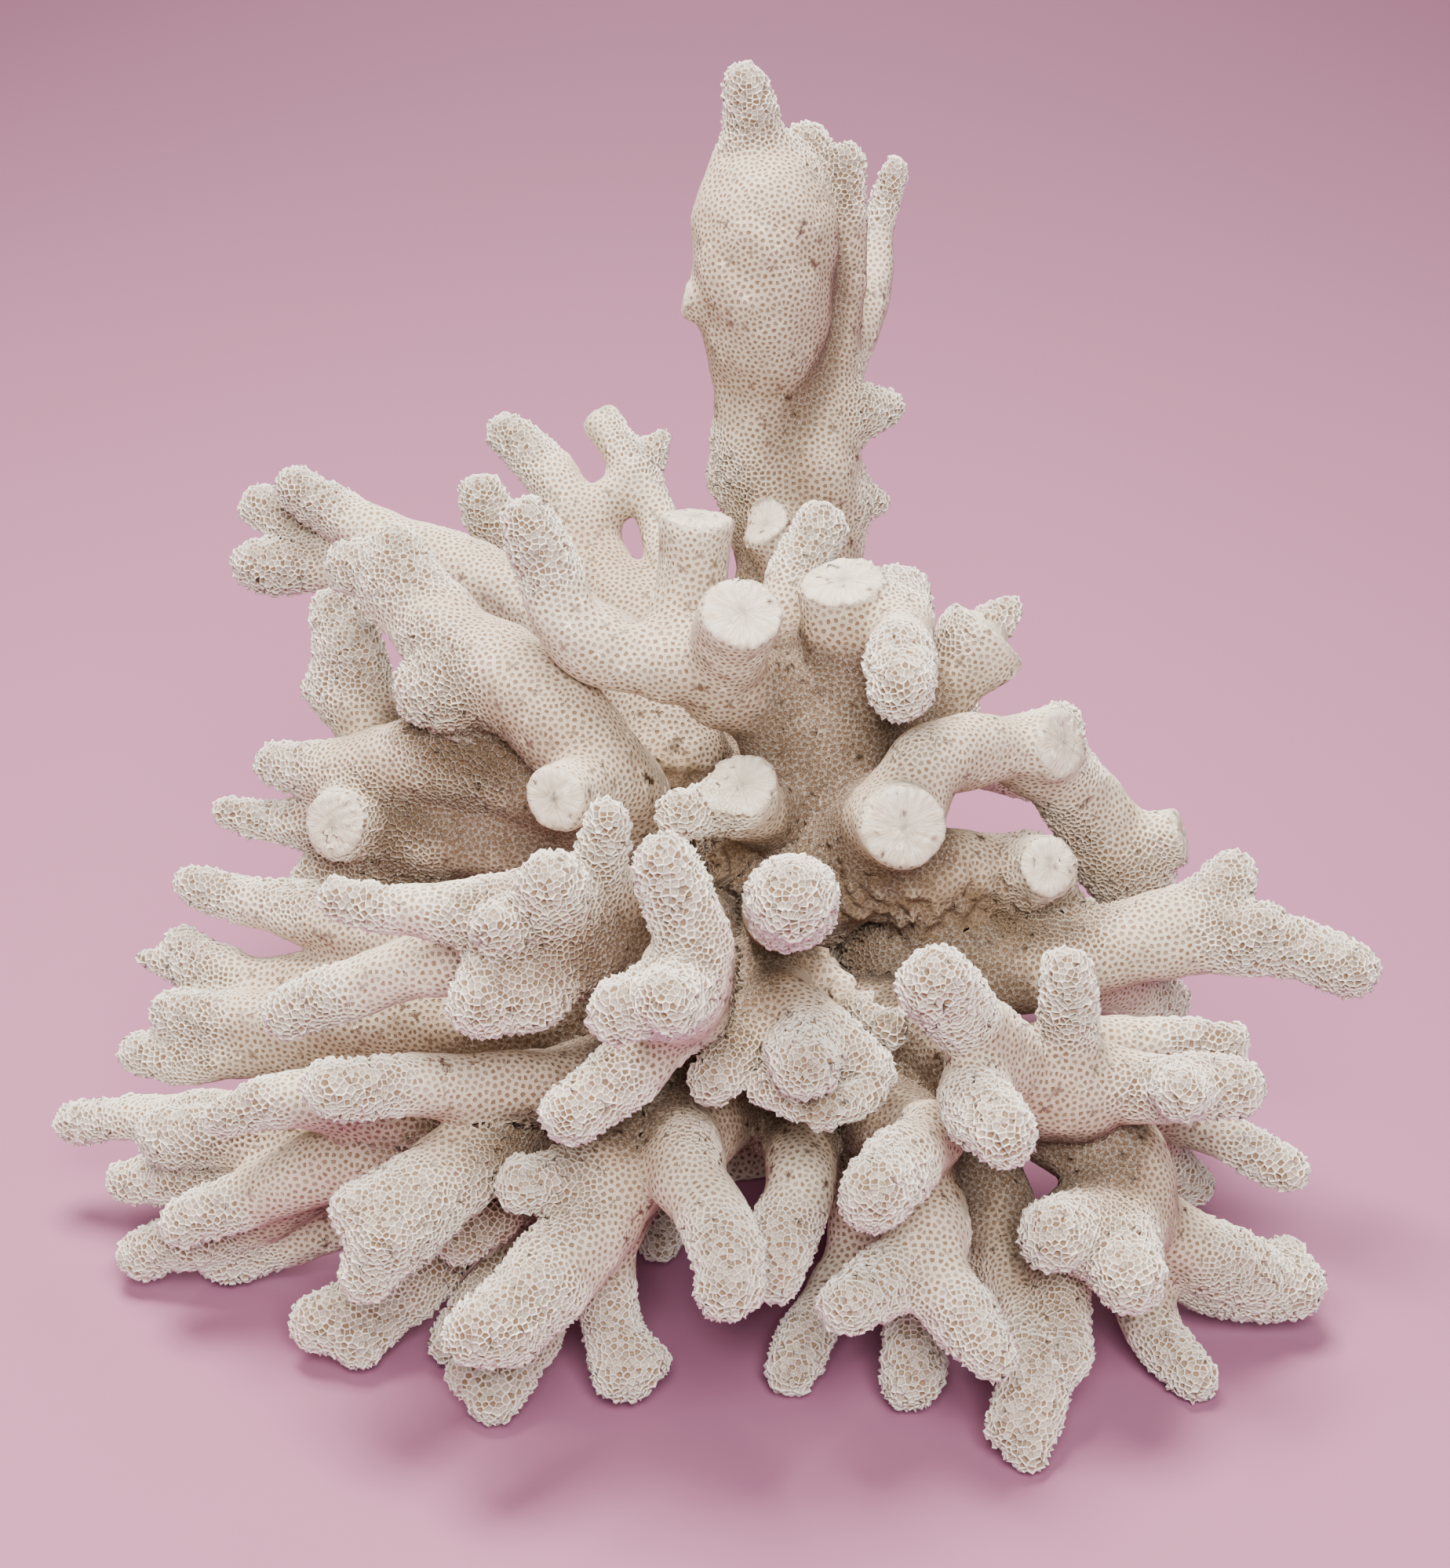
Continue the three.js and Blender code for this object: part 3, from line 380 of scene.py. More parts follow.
        finger((-12, -42, 18, 8), (-23, -45, 27, 7), (-33, -50, 38, 6.4), (-41, -56.5, 46, 6.4),
            (-45.5, -60.5, 51, 5.2)),
        finger((-42, -56.5, 46, 5.4), (-49.5, -57.5, 50, 3.7)),
        finger((-43, -59, 48, 5.2), (-48, -65.5, 50, 3.8)),
        finger((-26, -50, 26, 6.5), (-37, -64, 20, 5.6), (-45.5, -71, 24, 5.3), (-53, -75.5, 26, 4.8),
            (-58, -77, 27, 4.1)),
        finger((-46, -72, 24, 5), (-52.5, -79, 27.5, 4)),
    ),
    "left_fan_bough": (
        finger((-6, -26, 4, 9), (-14.5, -26, 8, 8.2), (-38, -26, 10, 6.8), (-52, -23, 3, 5.4),
            (-68, -19.5, -4, 4.3), (-82, -15.6, -8, 3.2)),
        finger((-48, -28, 4, 5.8), (-66, -30.5, -4, 4.4), (-77, -29.5, -7, 4), (-84.5, -24.5, -9, 2.6)),
        finger((-77, -30, -7, 4), (-84, -28.5, -9, 3), (-90, -27, -10, 1.8)),
        finger((-8, -34, 4, 9), (-14.5, -35, 10, 8), (-37.5, -35, 13, 6.4), (-58, -35.5, 6, 5.2),
            (-72, -36, 0, 4.8), (-84, -35.5, -3, 4.2)),
        finger((-54, -37, 6, 5), (-70, -40.5, 0, 4.3), (-82, -42, -3, 4), (-90, -41.5, -5, 3.4)),
    ),
}


@dataclass(frozen=True)
class Bough:
    """One bough of the colony, upright."""

    name: str
    limbs: tuple[Limb, ...]


def all_boughs() -> list[Bough]:
    """Set every bough upright.

    Returns:
        The boughs of the colony in the part's frame.
    """
    boughs = [Bough(name, limbs) for name, limbs in UPRIGHT_BOUGHS.items()]
    for name, limbs in LEANING_BOUGHS.items():
        boughs.append(Bough(name, tuple(limb.straightened() for limb in limbs)))
    return boughs


def smooth_step(low: float, high: float, value: np.ndarray) -> np.ndarray:
    """Rise from 0 at low to 1 at high, level at both ends: three times t squared less twice t cubed."""
    t = np.clip((value - low) / (high - low), 0.0, 1.0)
    return t * t * (3.0 - 2.0 * t)


def blended(near: np.ndarray, other: np.ndarray, width: float) -> np.ndarray:
    """Join two distance fields with a rounded crotch.

    Where the two distances differ by less than the width, the smaller one is lowered by a parabola that
    reaches a quarter of the width where they are equal.

    Args:
        near: one distance field.
        other: the other, of the same shape.
        width: how far the rounding reaches.

    Returns:
        The field of both together.
    """
    overlap = np.maximum(width - np.abs(near - other), 0.0)
    return np.minimum(near, other) - overlap * overlap / (4.0 * width)


def lumps(points: np.ndarray, wavelength: float, seed: int, waves: int = 14) -> np.ndarray:
    """Return a gentle random swelling at each point, about -1 to 1.

    It is a sum of sine waves that run in seeded random directions, each near the wavelength.

    Args:
        points: rows of x, y, z.
        wavelength: from one lump to the next, about.
        seed: what the directions are drawn from.
        waves: how many waves are added up.

    Returns:
        One swelling for each point.
    """
    random = np.random.default_rng(seed)
    ways = random.normal(size=(waves, 3))
    ways /= np.linalg.norm(ways, axis=1, keepdims=True)
    ways *= (2.0 * np.pi / wavelength) * random.uniform(0.7, 1.4, size=(waves, 1))
    phases = random.uniform(0.0, 2.0 * np.pi, size=waves)
    total = np.zeros(len(points))
    for way, phase in zip(ways, phases):
        total += np.sin(points @ way + phase)
    return total / np.sqrt(waves)


@dataclass
class ColonyField:
    """The distance from each point of a lattice to the colony's surface, negative inside."""

    boughs: list[Bough]
    pitch: float = 0.8  # lattice spacing
    reach: float = 4.5  # distances are worked out this far from the surface
    fork_blend: float = 2.2  # how softly the limbs of one bough run into each other
    neighbour_blend: float = 1.8  # the same between two boughs
    margin: float = 6.0
    walls: float = 0.3  # the limbs are drawn thinner by this much, which the cups' walls make good

    def __post_init__(self) -> None:
        """Lay the lattice round every limb and work the distances out."""
        lines = [limb.centre_line() for bough in self.boughs for limb in bough.limbs]
        every = np.vstack(lines)
        self.low = (every[:, :3] - every[:, 3:]).min(axis=0) - self.margin
        self.low[2] = -self.margin
        high = (every[:, :3] + every[:, 3:]).max(axis=0) + self.margin
        self.shape = tuple(np.ceil((high - self.low) / self.pitch).astype(int) + 1)
        self.distance = np.full(self.shape, self.reach, dtype=np.float32)
        self.nearest = np.full(self.shape, self.reach, dtype=np.float32)
        self.owner = np.full(self.shape, -1, dtype=np.int8)
        for number, bough in enumerate(self.boughs):
            self._add_bough(number, bough)
        heights = self.low[2] + self.pitch * np.arange(self.shape[2], dtype=np.float32)
        np.maximum(self.distance, -heights[None, None, :], out=self.distance)

    def _block(self, low: np.ndarray, high: np.ndarray) -> tuple[slice, ...]:
        """Find the part of the lattice that covers a box, grown by the reach.

        Args:
            low: the box's lowest corner.
            high: its highest corner.

        Returns:
            A slice along each axis.
        """
        first = np.floor((low - self.reach - self.low) / self.pitch).astype(int)
        last = np.ceil((high + self.reach - self.low) / self.pitch).astype(int) + 1
        first = np.clip(first, 0, self.shape)
        last = np.clip(last, 0, self.shape)
        return tuple(slice(a, b) for a, b in zip(first, last))

    def _offsets(self, block: tuple[slice, ...], point: np.ndarray) -> list[np.ndarray]:
        """Measure from a point to the lattice lines of a block.

        Args:
            block: a slice along each axis.
            point: x, y, z.

        Returns:
            The x, y and z offsets, each shaped to spread over the block.
        """
        shapes = ((-1, 1, 1), (1, -1, 1), (1, 1, -1))
        return [
            (self.low[k] + self.pitch * np.arange(part.start, part.stop) - point[k])
            .astype(np.float32).reshape(shapes[k])
            for k, part in enumerate(block)
        ]

    def _limb_distance(self, limb: Limb) -> tuple[tuple[slice, ...], np.ndarray]:
        """Work out the distance to one limb.

        Between two points of its line the limb is a cone with round ends: the distance to the nearest
        point of the stretch, less the radius there. A broken limb is also cut by a plane at its end.

        Args:
            limb: the finger or stump.

        Returns:
            The block of the lattice round the limb, and the distances in it.
        """
        line = limb.centre_line()
        block = self._block((line[:, :3] - line[:, 3:]).min(axis=0), (line[:, :3] + line[:, 3:]).max(axis=0))
        corner = np.array([part.start for part in block])
        near = np.full([part.stop - part.start for part in block], self.reach, dtype=np.float32)
        for start, finish in zip(line[:-1], line[1:]):
            thick = max(start[3], finish[3])
            low = np.minimum(start[:3], finish[:3]) - thick
            high = np.maximum(start[:3], finish[:3]) + thick
            small = tuple(
                slice(max(s.start, b.start), min(s.stop, b.stop))
                for s, b in zip(self._block(low, high), block)
            )
            x, y, z = self._offsets(small, start)
            way = (finish - start)[:3]
            square = float(way @ way)
            along = x * way[0] + y * way[1] + z * way[2]
            t = np.clip(along / square, 0.0, 1.0)
            away = np.sqrt(np.maximum(x * x + y * y + z * z - t * (2.0 * along - t * square), 0.0))
            away -= start[3] - self.walls + t * (finish[3] - start[3])
            part = tuple(slice(s.start - c, s.stop - c) for s, c in zip(small, corner))
            np.minimum(near[part], away, out=near[part])
        if limb.tip is Tip.BROKEN:
            face = line[-1]
            way = line[-1, :3] - line[-2, :3]
            way /= np.linalg.norm(way)
            x, y, z = self._offsets(block, face)
            np.maximum(near, x * way[0] + y * way[1] + z * way[2], out=near)
        return block, near

    def _add_bough(self, number: int, bough: Bough) -> None:
        """Blend a bough's limbs into one field, then blend that into the colony.

        Args:
            number: the bough's place in the colony.
            bough: the bough.
        """
        own = np.full(self.shape, self.reach, dtype=np.float32)
        whole = [np.array(self.shape), np.zeros(3, dtype=int)]
        for limb in bough.limbs:
            block, near = self._limb_distance(limb)
            own[block] = np.minimum(blended(own[block], near, self.fork_blend), self.reach)
            whole[0] = np.minimum(whole[0], [part.start for part in block])
            whole[1] = np.maximum(whole[1], [part.stop for part in block])
        box = tuple(slice(a, b) for a, b in zip(*whole))
        mine = own[box] < self.nearest[box]
        self.owner[box][mine] = number
        self.nearest[box] = np.minimum(self.nearest[box], own[box])
        self.distance[box] = blended(self.distance[box], own[box], self.neighbour_blend)

    def skin(self) -> tuple[np.ndarray, np.ndarray]:
        """Draw the surface where the distance is nothing.

        Returns:
            Its points, and its four-sided faces as rows of point numbers.
        """
        grid = openvdb.FloatGrid(self.reach)
        grid.copyFromArray(np.clip(self.distance, -self.reach, self.reach))
        grid.transform = openvdb.createLinearTransform(voxelSize=self.pitch)
        points, quads = grid.convertToQuads(0.0)
        return points.astype(float) + self.low, quads.astype(np.int64)

    def shelter(self, points: np.ndarray, reach: float) -> np.ndarray:
        """Work out how much of the cube round each point is solid.

        The share is a running sum along each side in turn.

        Args:
            points: rows of x, y, z.
            reach: half a side of the cube.

        Returns:
            The solid share for each point.
        """
        share = (self.distance < 0.0).astype(np.float32)
        half = round(reach / self.pitch)
        wide = 2 * half + 1
        for axis, length in enumerate(self.shape):
            room = [(0, 0)] * 3
            room[axis] = (half + 1, half)
            total = np.moveaxis(np.cumsum(np.pad(share, room), axis=axis), axis, 0)
            share = np.moveaxis((total[wide : wide + length] - total[:length]) / wide, 0, axis)
        return share[self._cells(points)]

    def _cells(self, points: np.ndarray) -> tuple[np.ndarray, ...]:
        """Return the place in the lattice that is nearest to each point."""
        cell = np.rint((points - self.low) / self.pitch).astype(int)
        return tuple(np.clip(cell, 0, np.array(self.shape) - 1).T)

    def at(self, points: np.ndarray) -> np.ndarray:
        """Return the distance from each point to the surface, negative inside."""
        return self.distance[self._cells(points)]

    def owners(self, points: np.ndarray) -> np.ndarray:
        """Return the number of the bough that each point of the surface belongs to."""
        return self.owner[self._cells(points)]


def neighbour_mean(points: np.ndarray, edges: np.ndarray) -> np.ndarray:
    """Return the mean of each point's neighbours along the edges.

    Args:
        points: rows of x, y, z.
        edges: pairs of point numbers.

    Returns:
        A row of x, y, z for each point.
    """
    ends = np.concatenate([edges[:, 0], edges[:, 1]])
    others = np.concatenate([edges[:, 1], edges[:, 0]])
    count = np.bincount(ends, minlength=len(points))
    sums = [np.bincount(ends, weights=points[others, k], minlength=len(points)) for k in range(3)]
    return np.stack(sums, axis=1) / np.maximum(count, 1)[:, None]


def unique_edges(faces: np.ndarray) -> tuple[np.ndarray, np.ndarray]:
    """List the edges of some faces.

    Args:
        faces: rows of point numbers.

    Returns:
        Each edge once, and the number of the edge after each corner of each face.
    """
    start = faces.ravel()
    finish = np.roll(faces, -1, axis=1).ravel()
    size = int(faces.max()) + 1
    keys = np.minimum(start, finish) * size + np.maximum(start, finish)
    unique, places = np.unique(keys, return_inverse=True)
    return np.stack([unique // size, unique % size], axis=1), places.reshape(faces.shape)


def linked(pairs: np.ndarray, count: int) -> np.ndarray:
    """Group items that are linked, near or far.

    Args:
        pairs: pairs of linked item numbers.
        count: how many items there are.

    Returns:
        For each item the lowest number in its group.
    """
    label = np.arange(count)
    while True:
        low = np.minimum(label[pairs[:, 0]], label[pairs[:, 1]])
        before = label.copy()
        np.minimum.at(label, pairs[:, 0], low)
        np.minimum.at(label, pairs[:, 1], low)
        label = label[label]
        if (label == before).all():
            return label


def largest_part(points: np.ndarray, quads: np.ndarray) -> tuple[np.ndarray, np.ndarray]:
    """Keep the part of a surface that has the most points, without the loose bubbles inside it.

    Args:
        points: rows of x, y, z.
        quads: rows of four point numbers.

    Returns:
        The points and the faces that are kept.
    """
    edges, _ = unique_edges(quads)
    part = linked(edges, len(points))
    kept = part == np.bincount(part).argmax()
    place = np.cumsum(kept) - 1
    return points[kept], place[quads[kept[quads[:, 0]]]]


def quartered(points: np.ndarray, quads: np.ndarray) -> tuple[np.ndarray, np.ndarray]:
    """Split each four-sided face into eight triangles, through its edges' middles and its own.

    Args:
        points: rows of x, y, z.
        quads: rows of four point numbers.

    Returns:
        The points with the new ones after them, and the triangles.
    """
    edges, places = unique_edges(quads)
    middles = points[edges].mean(axis=1)
    centres = points[quads].mean(axis=1)
    edge_numbers = places + len(points)
    centre_numbers = (np.arange(len(quads)) + len(points) + len(edges))[:, None]
    centre_numbers = np.repeat(centre_numbers, 4, axis=1)
    first = np.stack([quads, edge_numbers, centre_numbers], axis=2).reshape(-1, 3)
    second = np.stack([centre_numbers, np.roll(edge_numbers, 1, axis=1), quads], axis=2).reshape(-1, 3)
    return np.vstack([points, middles, centres]), np.vstack([first, second])


def point_normals(points: np.ndarray, triangles: np.ndarray) -> np.ndarray:
    """Work out unit normals: the sum of the cross products of the triangles round each point.

    Args:
        points: rows of x, y, z.
        triangles: rows of three point numbers.

    Returns:
        A unit vector for each point.
    """
    a, b, c = (points[triangles[:, k]] for k in range(3))
    across = np.cross(b - a, c - a)
    total = np.zeros_like(points)
    for axis in range(3):
        for corner in range(3):
            total[:, axis] += np.bincount(triangles[:, corner], across[:, axis], minlength=len(points))
    return total / np.maximum(np.linalg.norm(total, axis=1, keepdims=True), 1e-12)


@dataclass
class CupSpread:
    """The skin shared out into cells of even size, one for each cup.

    Seeds are strewn evenly over the skin. Each point of the skin joins the nearest seed, each seed moves to
    the middle of its points, and this is done until the cells are even, as bees' cells are. Three cells
    meet at each corner.
    """

    points: np.ndarray
    triangles: np.ndarray
    crowding: np.ndarray  # at each point, the wanted distance between two cups
    rounds: int = 14
    first_sweeps: int = 60  # steps from point to point in which the first cells can grow
    sweeps: int = 2  # the same in a later round
    seed: int = 11
    longest_slide: float = 0.4  # how far a corner may be slid to true it

    def __post_init__(self) -> None:
        """Strew the seeds and settle them."""
        edges, _ = unique_edges(self.triangles)
        self.ways = np.concatenate([edges, edges[:, ::-1]])
        sides = self.points[self.triangles[:, 1:]] - self.points[self.triangles[:, :1]]
        area = np.linalg.norm(np.cross(sides[:, 0], sides[:, 1]), axis=1) / 6.0
        self.area = np.bincount(self.triangles.ravel(), np.repeat(area, 3), minlength=len(self.points))
        self._strew()
        self._settle(self.first_sweeps)
        for _ in range(self.rounds):
            self.seeds = self.means(self.points)
            self._settle(self.sweeps)
        self.seeds = self.means(self.points)

    def _strew(self) -> None:
        """Put seeds down at random, closer together where the cups are to be crowded.

        A cell of a bees' comb has the square root of three quarters of its spacing squared as its area.
        """
        random = np.random.default_rng(self.seed)
        share = np.cumsum(self.area / (sqrt(0.75) * self.crowding**2))
        count = int(share[-1])
        picks = (np.arange(count) + random.random(count)) * share[-1] / count
        chosen = np.unique(np.searchsorted(share, picks))
        self.count = len(chosen)
        self.seeds = self.points[chosen]
        self.label = np.full(len(self.points), -1, dtype=np.int64)
        self.label[chosen] = np.arange(self.count)

    def means(self, values: np.ndarray) -> np.ndarray:
        """Average some values over the area of each cell.

        Args:
            values: a row for each point of the skin.

        Returns:
            A row for each cell.
        """
        size = np.maximum(np.bincount(self.label, self.area, minlength=self.count), 1e-9)
        sums = [np.bincount(self.label, v * self.area, minlength=self.count) for v in values.T]
        return np.stack(sums, axis=1) / size[:, None]

    def _settle(self, sweeps: int) -> None:
        """Let each point join a neighbour's cell if that cell's seed is nearer than its own.

        Args:
            sweeps: how many times each point may move on.
        """
        for _ in range(sweeps):
            start, finish = self.ways[:, 0], self.ways[:, 1]
            active = (self.label[start] != self.label[finish]) & (self.label[finish] >= 0)
            start, finish = start[active], finish[active]
            offer = self.label[finish]
            away = ((self.points[start] - self.seeds[offer]) ** 2).sum(axis=1)
            best = ((self.points - self.seeds[self.label]) ** 2).sum(axis=1)
            best[self.label < 0] = np.inf
            better = away < best[start] - 1e-9
            if not better.any():
                return
            start, offer, away = start[better], offer[better], away[better]
            order = np.argsort(-away, kind="stable")
            self.label[start[order]] = offer[order]

    def corners(self) -> tuple[np.ndarray, np.ndarray]:
        """Find the corners where three cells meet.

        Returns:
            The three skin points at each corner, and its three cells, in the order that turns outwards.
        """
        cells = self.label[self.triangles]
        three = (cells[:, 0] != cells[:, 1]) & (cells[:, 1] != cells[:, 2]) & (cells[:, 2] != cells[:, 0])
        return self.triangles[three], cells[three]

    def trued(self, corner_at: np.ndarray, out: np.ndarray, cells: np.ndarray) -> np.ndarray:
        """Slide each corner along the skin until it is as far from each of its three seeds.

        The point at one distance from three others is worked out from two sides of their triangle.

        Args:
            corner_at: the corners.
            out: the outward unit vectors there.
            cells: the three cells at each corner.

        Returns:
            The corners in their new places.
        """
        first = self.seeds[cells[:, 0]]
        one, two = self.seeds[cells[:, 1]] - first, self.seeds[cells[:, 2]] - first
        square = np.cross(one, two)
        size = np.maximum((square**2).sum(axis=1, keepdims=True), 1e-6)
        middle = np.cross(square, one) * (two**2).sum(axis=1, keepdims=True)
        middle += np.cross(two, square) * (one**2).sum(axis=1, keepdims=True)
        slide = first + middle / (2.0 * size) - corner_at
        slide -= out * (slide * out).sum(axis=1, keepdims=True)
        length = np.maximum(np.linalg.norm(slide, axis=1, keepdims=True), 1e-6)
        return corner_at + slide * np.minimum(1.0, self.longest_slide / length)


CAP_DEPTH = 4.0  # millimetres that the middle of a cap goes in from its rim
RIM_CHOICES = 40  # points of the rim that are tried as its middle
PROBES = (0.3, 0.6, 0.85)  # where a line across a cap is looked at, as shares of its length
PROBE_MARGIN = 0.2  # millimetres under the skin that such a line should stay
SMALLEST_PATCH = 60  # cells; a smaller island of one bough in another is given away

# Patches where the coral had died and weeds and tube worms crusted it over, leaning: x, y, z, radius.
CRUSTED = (
    (28, -19, 17, 10),
    (38, -18, 14, 10),
    (22, -17, 20, 8),
    (12, -25, 30, 6),
    (18, -31, 36, 6),
    (23, -35, 42, 6),
    (13, -43, 53, 6),
    (2, -8, 6, 12),
    (-8, 2, 2, 8),
)


@dataclass(frozen=True)
class CupShape:
    """How deep and how wide the cups are, in millimetres unless a share is named."""

    crowding_tip: float = 0.88  # from cup to cup on a growing tip
    crowding_flank: float = 1.1  # from cup to cup lower down
    tip_reach: float = 10.0  # how far down from a tip the tall-walled cups go
    mouth: float = 0.70  # width of a cup's mouth on a tip, as a share of its cell
    tip_depth: float = 0.85
    flank_depth: float = 0.2
    uneven_depth: tuple[float, float] = (0.75, 1.2)  # shares of the depth from cup to cup
    mouth_sink: float = 0.10  # how far the mouth on a tip lies under the skin
    wall_rise: float = 0.2  # how far the walls on a tip stand out
    flank_rise: float = 0.45  # the same lower down, as a share of that
    thorn: float = 0.75  # how much further the odd corner on a tip does
    ringed_from: float = 0.25  # bloom from which a cup is deep enough to need a ring at its mouth


@dataclass(frozen=True)
class Swelling:
    """Gentle lumps of one size, in millimetres."""

    height: float
    wavelength: float
    seed: int  # added to the skin's own

    def on(self, points: np.ndarray, seed: int) -> np.ndarray:
        """Return how far the skin swells at each point."""
        return self.height * lumps(points, self.wavelength, seed + self.seed)


GROWTH = (Swelling(0.3, 11.0, 0), Swelling(0.09, 4.6, 1))
CRUSTS = (Swelling(0.6, 3.8, 4), Swelling(0.4, 2.2, 5))
FRACTURE = Swelling(0.13, 1.2, 6)


@dataclass
class CoralSkin:
    """The finished surface of the colony: every cup with its wall, its rim and its floor."""

    boughs: list[Bough]
    shape: CupShape = field(default_factory=CupShape)
    seed: int = 7
    smoothings: int = 2
    cut_edge: tuple[float, float] = (0.2, 2.5)  # heights between which the swelling fades to the flat cut
    cut_height: float = 0.35  # the skin under this is the flat cut
    face_below: float = 0.7  # how far under the plane of a break its face may lie
    face_above: float = 1.6  # the same over it
    face_margin: float = 0.6  # how much wider than the limb it may be
    # How far round is looked at, and the solid share there at no shelter and at full shelter.
    near_shelter: tuple[float, float, float] = (7.0, 0.18, 0.50)
    far_shelter: tuple[float, float, float] = (15.0, 0.17, 0.43)
    crust_core: float = 0.45  # the share of a crusted patch that is covered all over
    under_skin: float = 0.8  # how deep a cup is looked up to tell which bough it is on
    votes: int = 4  # rounds in which a border between boughs is smoothed

    def __post_init__(self) -> None:
        """Work the skin out, share it into cups and raise them."""
        self.lattice = ColonyField(self.boughs)
        points, quads = largest_part(*self.lattice.skin())
        edges, _ = unique_edges(quads)
        for _ in range(self.smoothings):
            points += 0.5 * (neighbour_mean(points, edges) - points)
        points, triangles = quartered(points, quads)
        normals = point_normals(points, triangles)
        bloom, broken = self._bloom(points), self._broken(points)
        swell = sum(swelling.on(points, self.seed) for swelling in GROWTH)
        swell += self._crust(points) * sum(swelling.on(points, self.seed) for swelling in CRUSTS)
        swell = swell * (1.0 - broken) + broken * FRACTURE.on(points, self.seed)
        swell *= smooth_step(*self.cut_edge, points[:, 2])
        points += normals * swell[:, None]
        wide = np.where(bloom > 0.3, self.shape.crowding_tip, self.shape.crowding_flank)
        self._build(CupSpread(points, triangles, wide), normals)

    def _bloom(self, points: np.ndarray) -> np.ndarray:
        """Work out how near each point is to a growing tip.

        Args:
            points: rows of x, y, z.

        Returns:
            1 on a tip, 0 beyond its reach.
        """
        reach = self.shape.tip_reach
        best = np.full(len(points), np.inf)
        for limb in (limb for bough in self.boughs for limb in bough.limbs if limb.tip is Tip.ROUND):
            tip = np.array(limb.points[-1])
            near = np.flatnonzero((np.abs(points - tip[:3]) < 3.0 * reach).all(axis=1))
            away = np.linalg.norm(points[near] - tip[:3], axis=1) - tip[3]
            best[near] = np.minimum(best[near], away)
        return 1.0 - smooth_step(0.15 * reach, reach, best)

    def _faces(self, points: np.ndarray) -> Iterator[tuple[np.ndarray, np.ndarray, np.ndarray]]:
        """Find the points on each broken face.

        Args:
            points: rows of x, y, z.

        Yields:
            The numbers of a face's points, where they are from its middle, and the way that it faces.
        """
        for limb in (limb for bough in self.boughs for limb in bough.limbs if limb.tip is Tip.BROKEN):
            line = limb.centre_line()
            way = line[-1, :3] - line[-2, :3]
            way /= np.linalg.norm(way)
            from_face = points - line[-1, :3]
            out = from_face @ way
            near = (out > -self.face_below) & (out < self.face_above)
            near &= (from_face**2).sum(axis=1) < (line[-1, 3] + self.face_margin) ** 2
            yield np.flatnonzero(near), from_face[near], way

    def _broken(self, points: np.ndarray) -> np.ndarray:
        """Mark the broken faces and the cut under the holdfast.

        Args:
            points: rows of x, y, z.

        Returns:
            1 on them and 0 elsewhere.
        """
        mark = (points[:, 2] < self.cut_height).astype(float)
        for near, _, _ in self._faces(points):
            mark[near] = 1.0
        return mark

    def _spokes(self, points: np.ndarray) -> np.ndarray:
        """Work out the way out from the middle of each broken face.

        Args:
            points: rows of x, y, z.

        Returns:
            Two parts of a unit way across the face and how far out it is, or zeros off the faces.
        """
        spokes = np.zeros((len(points), 3))
        for near, from_face, way in self._faces(points):
            across = np.cross(way, [0.0, 0.6, 0.8])
            across /= np.linalg.norm(across)
            flat = np.stack([from_face @ across, from_face @ np.cross(way, across)], axis=1)
            far = np.linalg.norm(flat, axis=1, keepdims=True)
            spokes[near] = np.hstack([flat / np.maximum(far, 0.05), far])
        return spokes

    def _shelter(self, points: np.ndarray) -> np.ndarray:
        """Work out how deep in the recesses each point is, from how much round it is solid.

        Args:
            points: rows of x, y, z.

        Returns:
            0 out in the open, 1 where little light goes.
        """
        total = np.zeros(len(points))
        for reach, none, full in (self.near_shelter, self.far_shelter):
            total += smooth_step(none, full, self.lattice.shelter(points, reach))
        return 0.5 * total

    def _crust(self, points: np.ndarray) -> np.ndarray:
        """Mark where dead coral is crusted over.

        Args:
            points: rows of x, y, z.

        Returns:
            1 in the middle of a patch, 0 outside.
        """
        crust = np.zeros(len(points))
        for *middle, radius in CRUSTED:
            away = np.linalg.norm(points - upright(tuple(middle)), axis=1)
            crust = np.maximum(crust, 1.0 - smooth_step(self.crust_core * radius, radius, away))
        return crust

    def _build(self, spread: CupSpread, fine_normals: np.ndarray) -> None:
        """Raise the cups.

        A cell is a fan of triangles about its middle. On a tip the middle sinks to the cup's floor, a
        ring of points at the mouth stays near the skin, and the corners stand out as the thorny top of
        the wall. On a flank there is no ring, and the middle sinks only a little.

        Args:
            spread: the skin shared out into cells.
            fine_normals: unit normals at the points of that skin.
        """
        shape = self.shape
        random = np.random.default_rng(self.seed + 2)
        corner_points, cells = spread.corners()
        count, corners = spread.count, len(cells)
        seeds = spread.seeds
        corner_at = spread.points[corner_points].mean(axis=1)
        corner_out = fine_normals[corner_points].mean(axis=1)
        corner_at = spread.trued(corner_at, corner_out, cells)
        seed_out = spread.means(fine_normals)
        bloom, broken = self._bloom(seeds), self._broken(seeds)
        corner_bloom, corner_broken = self._bloom(corner_at), self._broken(corner_at)
        thorn = shape.thorn * random.random(corners) ** 2
        grown = shape.flank_rise + (1.0 - shape.flank_rise) * corner_bloom
        rise = shape.wall_rise * grown + thorn * corner_bloom
        corner_at = corner_at + corner_out * (rise * (1.0 - corner_broken))[:, None]
        depth = shape.flank_depth + (shape.tip_depth - shape.flank_depth) * bloom
        depth *= (1.0 - broken) * random.uniform(*shape.uneven_depth, count)
        floor = seeds - seed_out * depth[:, None]
        mouth = seeds[cells] + (corner_at[:, None, :] - seeds[cells]) * shape.mouth
        mouth -= seed_out[cells] * (shape.mouth_sink * bloom[cells] * (1.0 - broken[cells]))[:, :, None]
